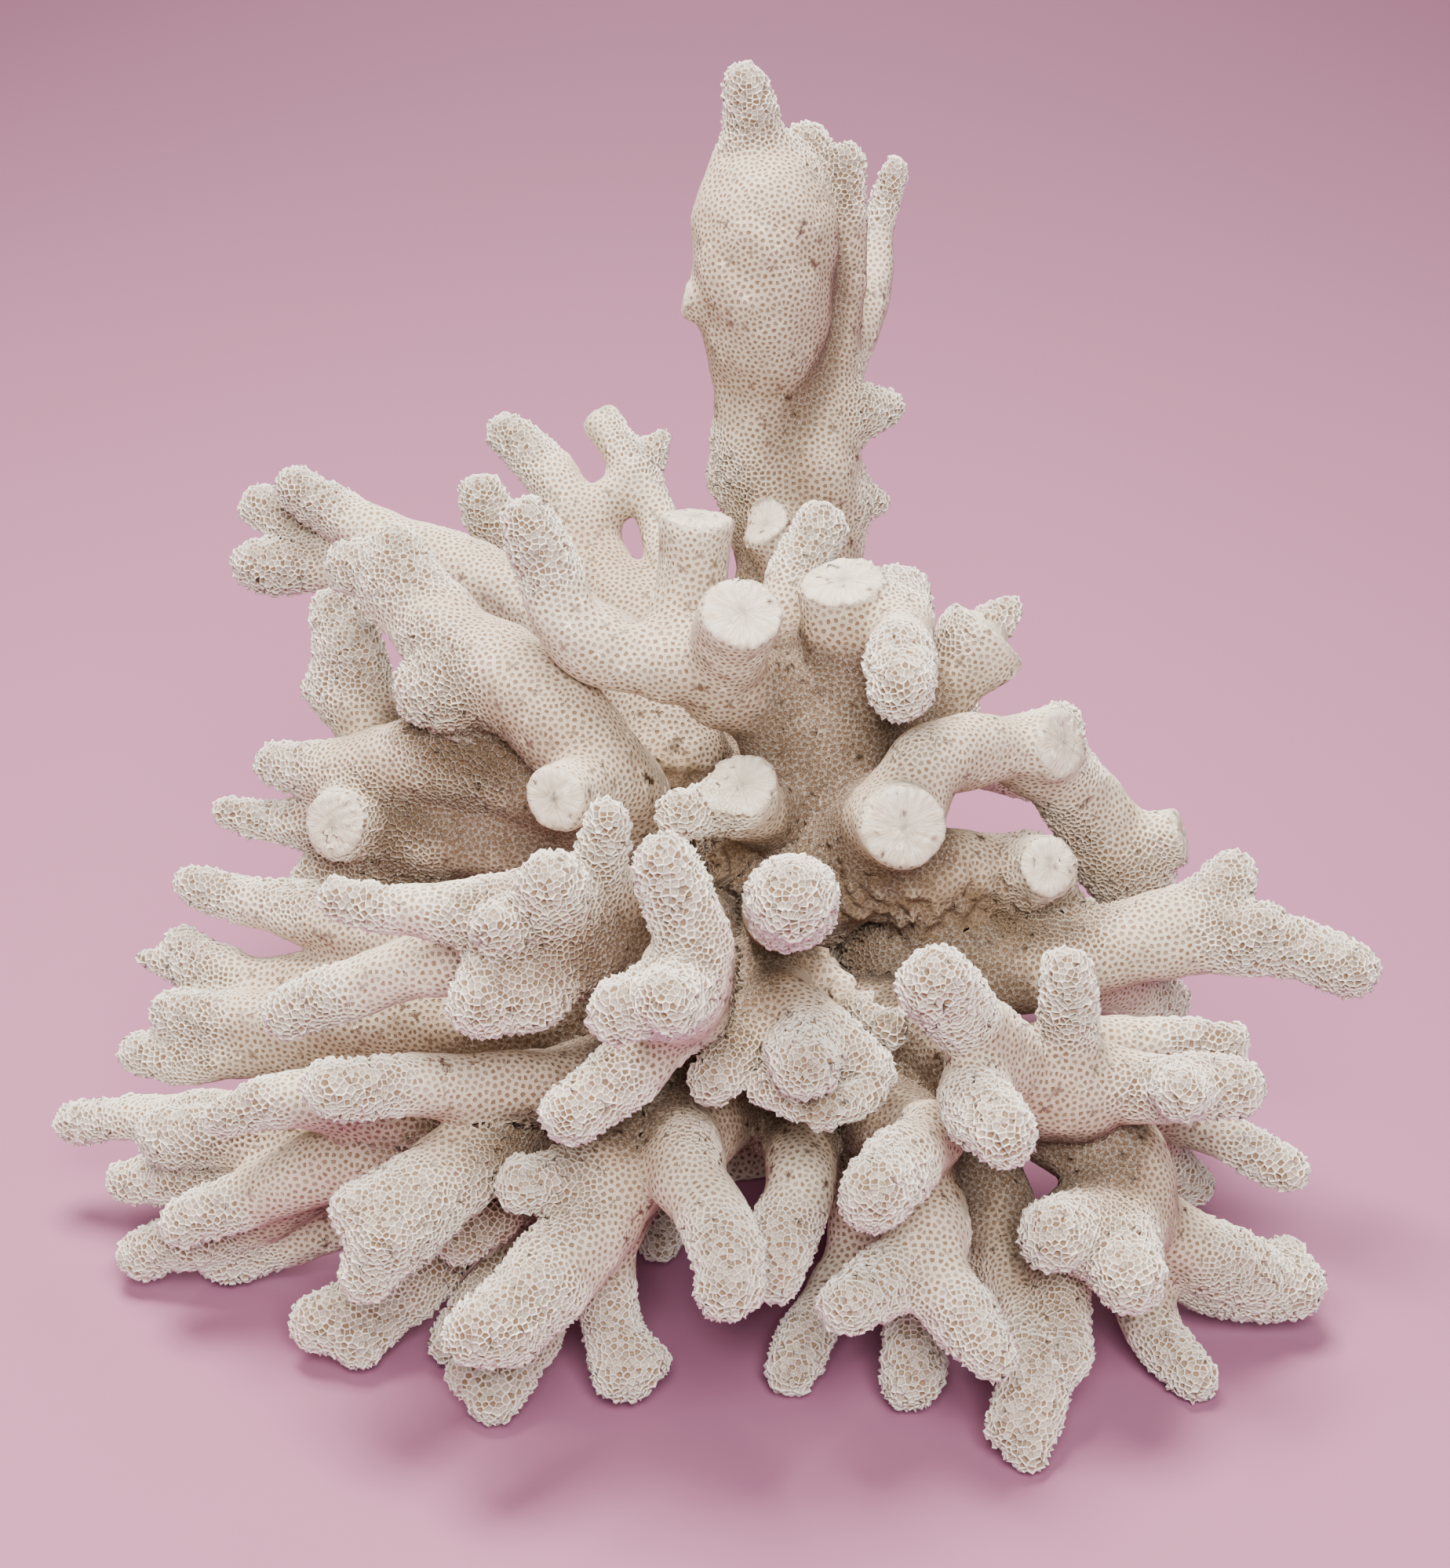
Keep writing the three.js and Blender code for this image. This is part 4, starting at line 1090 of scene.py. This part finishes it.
        self.points = np.vstack([floor, corner_at, mouth.reshape(-1, 3)])
        chance = random.random(count)
        mouth_ring = np.full(3 * corners, shape.mouth)
        self.marks = {
            "cup": np.concatenate([np.zeros(count), np.ones(corners), mouth_ring]),
            "bloom": np.concatenate([bloom, corner_bloom, bloom[cells].ravel()]),
            "broken": np.concatenate([broken, corner_broken, broken[cells].ravel()]),
            "chance": np.concatenate([chance, np.full(corners, 0.5), chance[cells].ravel()]),
            # The shelter mark: how enclosed each point is. The material paints shade, and some stain, into
            # the recesses with it.
            "shelter": self._shelter(self.points),
            "crust": self._crust(self.points),
            "spoke": self._spokes(self.points),
        }
        self._join(cells, count, corners, bloom > shape.ringed_from)
        owner = self.lattice.owners(seeds - self.under_skin * seed_out)
        self.cell_owner = self._shared_out(owner.astype(np.int64), cells)

    def _join(self, cells: np.ndarray, count: int, corners: int, ringed: np.ndarray) -> None:
        """Make the triangles. A wall runs between two corners, with one cell on each side of it.

        The walls between the same two cells are told apart by how far along one slanting way they are.

        Args:
            cells: the three cells at each corner.
            count: how many cells there are.
            corners: how many corners there are.
            ringed: whether each cell has a ring at its mouth.
        """
        start = cells.ravel()
        finish = np.roll(cells, -1, axis=1).ravel()
        number = np.arange(len(start))
        slant = np.array([1.0, 0.7, 0.4])
        place = (self.points[count : count + corners] @ slant)[number // 3]
        keys = np.minimum(start, finish) * count + np.maximum(start, finish)
        order = np.lexsort((place, keys))
        ahead = order[(start < finish)[order]]
        behind = order[(start > finish)[order]]
        one_side = np.concatenate([ahead, behind])
        other_side = np.concatenate([behind, ahead])
        cell = start[one_side]
        left, right = one_side // 3, other_side // 3
        mouth_left = count + corners + one_side
        mouth_right = count + corners + 3 * right + (other_side + 1 - 3 * right) % 3
        wall = np.stack([cell, left + count, right + count, mouth_left, mouth_right], axis=1)
        plain, deep = wall[~ringed[cell]], wall[ringed[cell]]
        fans = [deep[:, turn] for turn in ([0, 4, 3], [4, 2, 1], [4, 1, 3])]
        self.triangles = np.vstack([plain[:, [0, 2, 1]], *fans])
        self.triangle_cell = np.concatenate([plain[:, 0], deep[:, 0], deep[:, 0], deep[:, 0]])

    def _shared_out(self, owner: np.ndarray, cells: np.ndarray) -> np.ndarray:
        """Give each cell to a bough, with smooth borders and no stray patches.

        Each cell takes the bough that most of its neighbours have, a few times over. A patch of a few
        cells cut off from the rest of its bough then goes to the bough round it.

        Args:
            owner: the bough that each cell is nearest to.
            cells: the three cells at each corner.

        Returns:
            The bough that each cell is given to.
        """
        ends = np.concatenate([cells[:, [0, 1]], cells[:, [1, 2]], cells[:, [2, 0]]])
        kinds = len(self.boughs)
        for _ in range(self.votes):
            votes = np.bincount(ends[:, 0] * kinds + owner[ends[:, 1]], minlength=len(owner) * kinds)
            votes = votes.reshape(-1, kinds) * 2
            votes[np.arange(len(owner)), owner] += 1
            owner = votes.argmax(axis=1)
        patch = linked(ends[owner[ends[:, 0]] == owner[ends[:, 1]]], len(owner))
        small = np.bincount(patch, minlength=len(owner))[patch] < SMALLEST_PATCH
        across = ends[small[ends[:, 0]] & ~small[ends[:, 1]]]
        home = np.full(len(owner), -1)
        home[patch[across[:, 0]]] = owner[across[:, 1]]
        moved = small & (home[patch] >= 0)
        owner[moved] = home[patch[moved]]
        return owner

    def _best_middle(self, rim: np.ndarray, edge: np.ndarray) -> np.ndarray:
        """Choose the middle of a cap so that as little of the cap as can be shows through the skin.

        The choices are the mean of the rim and some points of the rim, all under the skin. Each is judged
        by how far the lines from it to the open edge come out of the skin.

        Args:
            rim: the points of the open edge, sunk under the skin.
            edge: the same points on the skin.

        Returns:
            The middle's x, y and z.
        """
        choices = np.vstack([rim.mean(axis=0), rim[:: max(1, len(rim) // RIM_CHOICES)]])
        way = choices[:, None] - edge[None]
        probes = np.concatenate([edge[None] + share * way for share in PROBES], axis=1)
        depth = self.lattice.at(probes.reshape(-1, 3)).reshape(len(choices), -1)
        return choices[np.maximum(depth + PROBE_MARGIN, 0.0).sum(axis=1).argmin()]

    def piece(self, number: int) -> "Piece":
        """Cut out one bough's part of the skin, and close it where it joins its neighbours.

        Each open edge is closed by a fan about the middle of its loop, a little under the skin.

        Args:
            number: the bough's place in the colony.

        Returns:
            The piece.
        """
        triangles = self.triangles[self.cell_owner[self.triangle_cell] == number]
        start = triangles.ravel()
        finish = np.roll(triangles, -1, axis=1).ravel()
        size = len(self.points)
        open_edge = ~np.isin(start * size + finish, finish * size + start)
        edges = np.stack([start[open_edge], finish[open_edge]], axis=1)
        used, places = np.unique(np.concatenate([start, edges.ravel()]), return_inverse=True)
        triangles = places[: len(start)].reshape(-1, 3)
        edges = places[len(start) :].reshape(-1, 2)
        points = self.points[used]
        marks = {name: values[used] for name, values in self.marks.items()}
        if len(edges):
            loops = linked(edges, len(used))[edges[:, 0]]
            _, loop = np.unique(loops, return_inverse=True)
            count = np.bincount(loop)
            rim = points[edges[:, 0]] - CAP_DEPTH * point_normals(points, triangles)[edges[:, 0]]
            halfway = points[edges].mean(axis=1)
            rings = (loop == k for k in range(len(count)))
            middle = np.array([self._best_middle(rim[ring], halfway[ring]) for ring in rings])
            caps = np.stack([edges[:, 1], edges[:, 0], len(points) + loop], axis=1)
            points = np.vstack([points, middle])
            triangles = np.vstack([triangles, caps])
            for name, values in marks.items():
                marks[name] = np.concatenate([values, np.zeros((len(middle), *values.shape[1:]))])
        return Piece(self.boughs[number].name, points, triangles, marks)


@dataclass
class Piece:
    """The mesh of one bough and what is marked on its points."""

    name: str
    points: np.ndarray
    triangles: np.ndarray
    marks: dict[str, np.ndarray]

    def build(self, finish: bpy.types.Material) -> bpy.types.Object:
        """Write the mesh out in metres, dress it and stand it in for its bough.

        Args:
            finish: the material.

        Returns:
            The finished object.
        """
        mesh = bpy.data.meshes.new(self.name)
        mesh.vertices.add(len(self.points))
        mesh.vertices.foreach_set("co", (self.points * MM).astype(np.float32).ravel())
        mesh.loops.add(3 * len(self.triangles))
        mesh.loops.foreach_set("vertex_index", self.triangles.astype(np.int32).ravel())
        mesh.polygons.add(len(self.triangles))
        mesh.polygons.foreach_set("loop_start", np.arange(0, 3 * len(self.triangles), 3, dtype=np.int32))
        for name, values in self.marks.items():
            kind, slot = ("FLOAT", "value") if values.ndim == 1 else ("FLOAT_VECTOR", "vector")
            mark = mesh.attributes.new(name, kind, "POINT")
            mark.data.foreach_set(slot, values.astype(np.float32).ravel())
        mesh.update()
        mesh.validate()
        mesh.polygons.foreach_set("use_smooth", np.ones(len(mesh.polygons), dtype=bool))
        mesh.materials.append(finish)
        piece = bpy.data.objects.new(self.name + "_skin", mesh)
        bpy.context.scene.collection.objects.link(piece)
        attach(piece, "root")
        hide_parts(self.name)
        return piece


def linear(code: str) -> tuple[float, float, float, float]:
    """Turn an sRGB hex colour into linear red, green, blue and alpha.

    Args:
        code: six hex digits after a hash sign.

    Returns:
        The linear colour, opaque.
    """
    parts = [int(code[i : i + 2], 16) / 255.0 for i in (1, 3, 5)]
    return (*(c / 12.92 if c <= 0.04045 else ((c + 0.055) / 1.055) ** 2.4 for c in parts), 1.0)


Place = tuple[float, float, float]
Marks = dict[str, bpy.types.NodeSocket]

MATH, RANGE, MIX = "ShaderNodeMath", "ShaderNodeMapRange", "ShaderNodeMix"
TIMES, PLUS, MINUS = {"operation": "MULTIPLY"}, {"operation": "ADD"}, {"operation": "SUBTRACT"}
SMOOTH, COLOURS = {"interpolation_type": "SMOOTHSTEP"}, {"data_type": "RGBA"}


def add_node(
    tree: bpy.types.NodeTree,
    kind: str,
    settings: dict[str, Any] | None = None,
    out: int | str = 0,
    **inputs: Any,
) -> bpy.types.NodeSocket | None:
    """Add a node with its settings, and fill its sockets with values or links.

    Args:
        tree: the node tree.
        kind: the node's Blender type.
        settings: attributes of the node, by name.
        out: the name or the place of the output that is wanted.
        inputs: sockets by name with underscores for spaces, or by place as s0, s1 and so on.

    Returns:
        The wanted output, or None from a node that has none.
    """
    new = tree.nodes.new(kind)
    for name, value in (settings or {}).items():
        setattr(new, name, value)
    for name, value in inputs.items():
        place = int(name[1:]) if name[0] == "s" and name[1:].isdigit() else name.replace("_", " ")
        socket = new.inputs[place]
        if isinstance(value, bpy.types.NodeSocket):
            tree.links.new(value, socket)
        else:
            socket.default_value = value
    return new.outputs[out] if len(new.outputs) else None


@dataclass(frozen=True)
class BleachedAragonite:
    """Coral skeleton: aragonite grown by the polyps, bleached and dried.

    To the eye it is chalky ivory: white and sugary on the cup walls and the broken faces. In the recesses it
    is painted creamy tan and, in the deepest gaps, dark brown: partly stain and dirt, partly painted shade.
    The floor of each cup, which light hardly reaches, is painted tan as painted shade.
    """

    name: str = "bleached_aragonite"
    wall: str = "#fcf8f1"  # the thin walls of the cups near a tip
    ground: str = "#ece1d0"  # the smooth skeleton between cups lower down
    recess_stain_and_shade: str = "#a3866a"  # the same in the recesses: partly stain where the bleach hardly reached, partly painted shade
    deep: str = "#4f3a29"  # the deepest gaps: partly dirt from the reef, partly painted shadow; also mixed into sheltered cup floors as painted shade
    shaded_pit_floor_tip: str = "#93775a"  # the floor of a cup near a tip, darkened as painted shade
    shaded_pit_floor_flank: str = "#93765a"  # the floor of a cup lower down, darkened as painted shade
    fresh: str = "#eee8df"  # a broken face
    weed: str = "#8d7558"  # crusted patches
    fibre: str = "#d6c6ae"  # the hollows between the fibres of a broken face
    speck: str = "#3a3029"  # grains of dirt
    roughness: float = 0.86
    specular: float = 0.35  # weak, because the pores swallow most of the gloss
    ior: float = 1.53  # the least of aragonite's three
    grain: float = 0.32  # millimetres; coarser than the real sugar grain of 0.1, which is too fine to show
    mottle: float = 7.0  # millimetres between the lighter and darker patches
    speck_gap: float = 4.5  # millimetres between specks
    speck_size: tuple[float, float] = (0.018, 0.034)  # radii of the dark middle and the edge, in gaps
    # About 40 fibres round a broken face, each some 3 millimetres long: coarser than real ones, which are
    # too fine to show.
    fibres: tuple[float, float, float] = (7.0, 7.0, 0.35)

    def build(self) -> bpy.types.Material:
        """Make the material from the marks on the skin.

        Returns:
            The finished material.
        """
        material = bpy.data.materials.new(self.name)
        material.use_nodes = True
        tree = material.node_tree
        tree.nodes.clear()
        mark = {
            key: add_node(tree, "ShaderNodeAttribute", {"attribute_name": key}, "Fac")
            for key in ("cup", "bloom", "broken", "chance", "shelter", "crust")
        }
        mark["spoke"] = add_node(tree, "ShaderNodeAttribute", {"attribute_name": "spoke"}, "Vector")
        mark["place"] = add_node(tree, "ShaderNodeTexCoord", None, "Object")
        mark["whole"] = add_node(tree, MATH, MINUS, s0=1.0, s1=mark["broken"])
        for key, size, detail in (("grain", self.grain, 2.0), ("mottle", self.mottle, 4.0)):
            mark[key] = add_node(
                tree, "ShaderNodeTexNoise", None, "Fac", Vector=mark["place"], Scale=1.0 / (size * MM),
                Detail=detail, Roughness=0.6,
            )
        along = add_node(tree, "ShaderNodeVectorMath", TIMES, s0=mark["spoke"], s1=self.fibres)
        mark["fibre"] = add_node(
            tree, "ShaderNodeTexNoise", None, "Fac", Vector=along, Scale=1.0, Detail=3.0, Roughness=0.7
        )
        mark["pit"] = self._pit(tree, mark)
        bump = add_node(
            tree, "ShaderNodeBump", None, "Normal", Height=self._height(tree, mark), Distance=MM, Strength=0.9
        )
        surface = add_node(
            tree, "ShaderNodeBsdfPrincipled", None, "BSDF", Base_Color=self._colour(tree, mark),
            Roughness=self.roughness, Normal=bump,
        )
        surface.node.inputs["Specular IOR Level"].default_value = self.specular
        surface.node.inputs["IOR"].default_value = self.ior
        add_node(tree, "ShaderNodeOutputMaterial", None, Surface=surface)
        return material

    def _pit(self, tree: bpy.types.NodeTree, mark: Marks) -> bpy.types.NodeSocket:
        """Mark the pit of each cup. It fills three quarters of a cell on a tip and half of one lower down.

        Args:
            tree: the node tree.
            mark: what is marked on the skin.

        Returns:
            1 in a pit and 0 on the walls.
        """
        rim = add_node(tree, RANGE, SMOOTH, Value=mark["bloom"], To_Min=0.50, To_Max=0.74)
        inner = add_node(tree, MATH, MINUS, s0=rim, s1=0.13)
        outer = add_node(tree, MATH, PLUS, s0=rim, s1=0.07)
        pit = add_node(
            tree, RANGE, SMOOTH, Value=mark["cup"], From_Min=inner, From_Max=outer, To_Min=1.0, To_Max=0.0
        )
        return add_node(tree, MATH, TIMES, s0=pit, s1=mark["whole"])

    def _colour(self, tree: bpy.types.NodeTree, mark: Marks) -> bpy.types.NodeSocket:
        """Lay the colours over each other: skeleton with painted shade and some stain in its recesses,
        cup floors darkened as painted shade, crust, broken faces and specks.

        Args:
            tree: the node tree.
            mark: what is marked on the skin.

        Returns:
            The colour of the skin.
        """
        open_air = add_node(tree, MATH, MINUS, s0=1.0, s1=mark["shelter"])
        # Painted shade in the recesses, in patches: the shelter mark mixes the skeleton towards tan, partly
        # as stain that the bleach missed and partly as painted shade.
        patchy = add_node(tree, RANGE, SMOOTH, Value=mark["mottle"], From_Min=0.3, From_Max=0.7, To_Min=0.7)
        shade_and_stain_mix = add_node(tree, MATH, TIMES, s0=mark["shelter"], s1=patchy)
        ground = add_node(tree, MIX, COLOURS, 2, s0=shade_and_stain_mix, s6=linear(self.ground), s7=linear(self.recess_stain_and_shade))
        # Painted shadow in the deepest gaps, partly dirt: the colour goes dark brown where the shelter mark
        # is highest.
        deepest = add_node(tree, RANGE, SMOOTH, Value=mark["shelter"], From_Min=0.82, To_Max=0.8)
        ground = add_node(tree, MIX, COLOURS, 2, s0=deepest, s6=ground, s7=linear(self.deep))
        # The white of a young tip is held back where the tip is sheltered, so sheltered tips stay darker as
        # painted shade.
        young = add_node(tree, RANGE, SMOOTH, Value=mark["bloom"], From_Max=0.8)
        young = add_node(tree, MATH, TIMES, s0=young, s1=open_air)
        ground = add_node(tree, MIX, COLOURS, 2, s0=young, s6=ground, s7=linear(self.wall))
        sugar = add_node(tree, RANGE, SMOOTH, Value=mark["grain"], From_Min=0.35, From_Max=0.75, To_Max=0.35)
        ground = add_node(tree, MIX, COLOURS, 2, s0=sugar, s6=ground, s7=linear(self.fresh))

        # Cup floors are darkened as painted shade; a random share of cups keeps a paler floor.
        floor = add_node(
            tree, MIX, COLOURS, 2, s0=mark["bloom"], s6=linear(self.shaded_pit_floor_flank), s7=linear(self.shaded_pit_floor_tip)
        )
        paler_floor_share = add_node(tree, RANGE, SMOOTH, Value=mark["chance"], From_Min=0.1, From_Max=0.9, To_Max=0.45)
        floor = add_node(tree, MIX, COLOURS, 2, s0=paler_floor_share, s6=floor, s7=ground)
        # Painted shade: the cup floors darken further towards the deep colour where they are sheltered.
        gloom = add_node(tree, MATH, TIMES, s0=mark["shelter"], s1=0.5)
        floor = add_node(tree, MIX, COLOURS, 2, s0=gloom, s6=floor, s7=linear(self.deep))
        inside = add_node(tree, MATH, TIMES, s0=mark["pit"], s1=0.95)
        skin = add_node(tree, MIX, COLOURS, 2, s0=inside, s6=ground, s7=floor)

        patch = add_node(tree, RANGE, SMOOTH, Value=mark["mottle"], From_Min=0.38, From_Max=0.62)
        crumbs = add_node(
            tree, RANGE, SMOOTH, Value=mark["grain"], From_Min=0.3, From_Max=0.6, To_Min=0.15, To_Max=0.65
        )
        patch = add_node(tree, MATH, TIMES, s0=patch, s1=mark["crust"])
        patch = add_node(tree, MATH, TIMES, s0=patch, s1=crumbs)
        skin = add_node(tree, MIX, COLOURS, 2, s0=patch, s6=skin, s7=linear(self.weed))

        hollow = add_node(tree, RANGE, SMOOTH, Value=mark["fibre"], From_Min=0.35, From_Max=0.65, To_Max=0.9)
        face = add_node(tree, MIX, COLOURS, 2, s0=hollow, s6=linear(self.fresh), s7=linear(self.fibre))
        skin = add_node(tree, MIX, COLOURS, 2, s0=mark["broken"], s6=skin, s7=face)

        density = 1.0 / (self.speck_gap * MM)
        dots = add_node(tree, "ShaderNodeTexVoronoi", None, "Distance", Vector=mark["place"], Scale=density)
        core, edge = self.speck_size
        dots = add_node(
            tree, RANGE, SMOOTH, Value=dots, From_Min=core, From_Max=edge, To_Min=1.0, To_Max=0.0
        )
        dirty = add_node(tree, RANGE, SMOOTH, Value=mark["mottle"], From_Min=0.56, From_Max=0.62, To_Max=0.9)
        dots = add_node(tree, MATH, TIMES, s0=dots, s1=dirty)
        dots = add_node(tree, MATH, TIMES, s0=dots, s1=mark["whole"])
        return add_node(tree, MIX, COLOURS, 2, s0=dots, s6=skin, s7=linear(self.speck))

    def _height(self, tree: bpy.types.NodeTree, mark: Marks) -> bpy.types.NodeSocket:
        """Add up the finest relief: wall tops, pits, sugar grain, fibres and crust.

        Args:
            tree: the node tree.
            mark: what is marked on the skin.

        Returns:
            The height in millimetres.
        """
        top = add_node(tree, RANGE, SMOOTH, Value=mark["cup"], From_Min=0.78, To_Max=0.10)
        height = add_node(tree, MATH, TIMES, s0=top, s1=mark["bloom"])
        depth = add_node(tree, RANGE, SMOOTH, Value=mark["bloom"], To_Min=-0.24, To_Max=-0.12)
        for first, second in (
            (depth, mark["pit"]),
            (mark["grain"], 0.06),
            (add_node(tree, MATH, TIMES, s0=mark["fibre"], s1=0.35), mark["broken"]),
            (add_node(tree, MATH, TIMES, s0=mark["mottle"], s1=0.5), mark["crust"]),
        ):
            share = add_node(tree, MATH, TIMES, s0=first, s1=second)
            height = add_node(tree, MATH, PLUS, s0=height, s1=share)
        return height


@dataclass(frozen=True)
class Studio:
    """A pale floor, soft light and the camera."""

    floor_colour: str = "#a66d90"
    sky_colour: str = "#d6ccca"
    sky_strength: float = 0.08
    floor_size: float = 6.0  # metres
    camera_back: float = 397.7  # millimetres in front of the origin
    camera_height: float = 246.7
    lens: float = 64.9
    sensor: float = 36.0

    def build(self) -> None:
        """Put everything in its place."""
        self._floor()
        self._light("key", (-0.12, 0.1, 0.95), (0.0, 0.0, 0.05), 0.4, 23.0, "#fff4e8")
        self._light("fill", (0.05, -0.55, 0.5), (0.0, 0.0, 0.06), 0.3, 7.3, "#fff7ee")
        self._light("side", (-0.9, -0.2, 0.4), (0.0, 0.0, 0.05), 0.4, 2.5, "#ffeedd")
        self._light("back", (0.0, 1.3, 0.8), (0.0, 1.25, 0.0), 0.6, 9.0, "#fff6ec")
        self._sky()
        self._camera()

    def _floor(self) -> None:
        """Lay the floor level with the cut that the colony stands on."""
        half = self.floor_size / 2
        mesh = bpy.data.meshes.new("floor")
        corners = [(-half, -half, 0), (half, -half, 0), (half, half, 0), (-half, half, 0)]
        mesh.from_pydata(corners, [], [(0, 1, 2, 3)])
        card = bpy.data.materials.new("tinted_card")
        card.use_nodes = True
        surface = card.node_tree.nodes["Principled BSDF"]
        surface.inputs["Base Color"].default_value = linear(self.floor_colour)
        surface.inputs["Roughness"].default_value = 0.7
        mesh.materials.append(card)
        floor = bpy.data.objects.new("floor", mesh)
        bpy.context.scene.collection.objects.link(floor)

    def _light(self, name: str, place: Place, aim: Place, size: float, power: float, colour: str) -> None:
        """Hang one square soft light.

        Args:
            name: the light's name.
            place: where it hangs, in metres.
            aim: the point that it faces.
            size: a side of the square, in metres.
            power: in watts.
            colour: its sRGB hex colour.
        """
        lamp = bpy.data.lights.new(name, "AREA")
        lamp.size = size
        lamp.energy = power
        lamp.color = linear(colour)[:3]
        holder = bpy.data.objects.new(name, lamp)
        holder.location = place
        holder.rotation_euler = (Vector(aim) - Vector(place)).to_track_quat("-Z", "Y").to_euler()
        bpy.context.scene.collection.objects.link(holder)

    def _sky(self) -> None:
        """Fill the rest of the room with one dim colour."""
        world = bpy.data.worlds.new("room")
        world.use_nodes = True
        sky = world.node_tree.nodes["Background"]
        sky.inputs["Color"].default_value = linear(self.sky_colour)
        sky.inputs["Strength"].default_value = self.sky_strength
        bpy.context.scene.world = world

    def _camera(self) -> None:
        """Stand the camera in front, looking down along the lean."""
        camera = bpy.data.cameras.new("camera")
        camera.lens = self.lens
        camera.sensor_width = self.sensor
        camera.clip_start = 10 * MM
        holder = bpy.data.objects.new("camera", camera)
        holder.location = (0.0, -self.camera_back * MM, self.camera_height * MM)
        holder.rotation_euler = (radians(90) - LEAN, 0.0, 0.0)
        bpy.context.scene.collection.objects.link(holder)
        bpy.context.scene.camera = holder


def main() -> None:
    """Build the colony, dress it and light it."""
    logging.basicConfig(level=logging.INFO)
    Studio().build()
    boughs = all_boughs()
    skin = CoralSkin(boughs)
    finish = BleachedAragonite().build()
    for number in range(len(boughs)):
        piece = skin.piece(number).build(finish)
        log.info("%s: %d triangles", piece.name, len(piece.data.polygons))


if __name__ == "__main__":
    main()
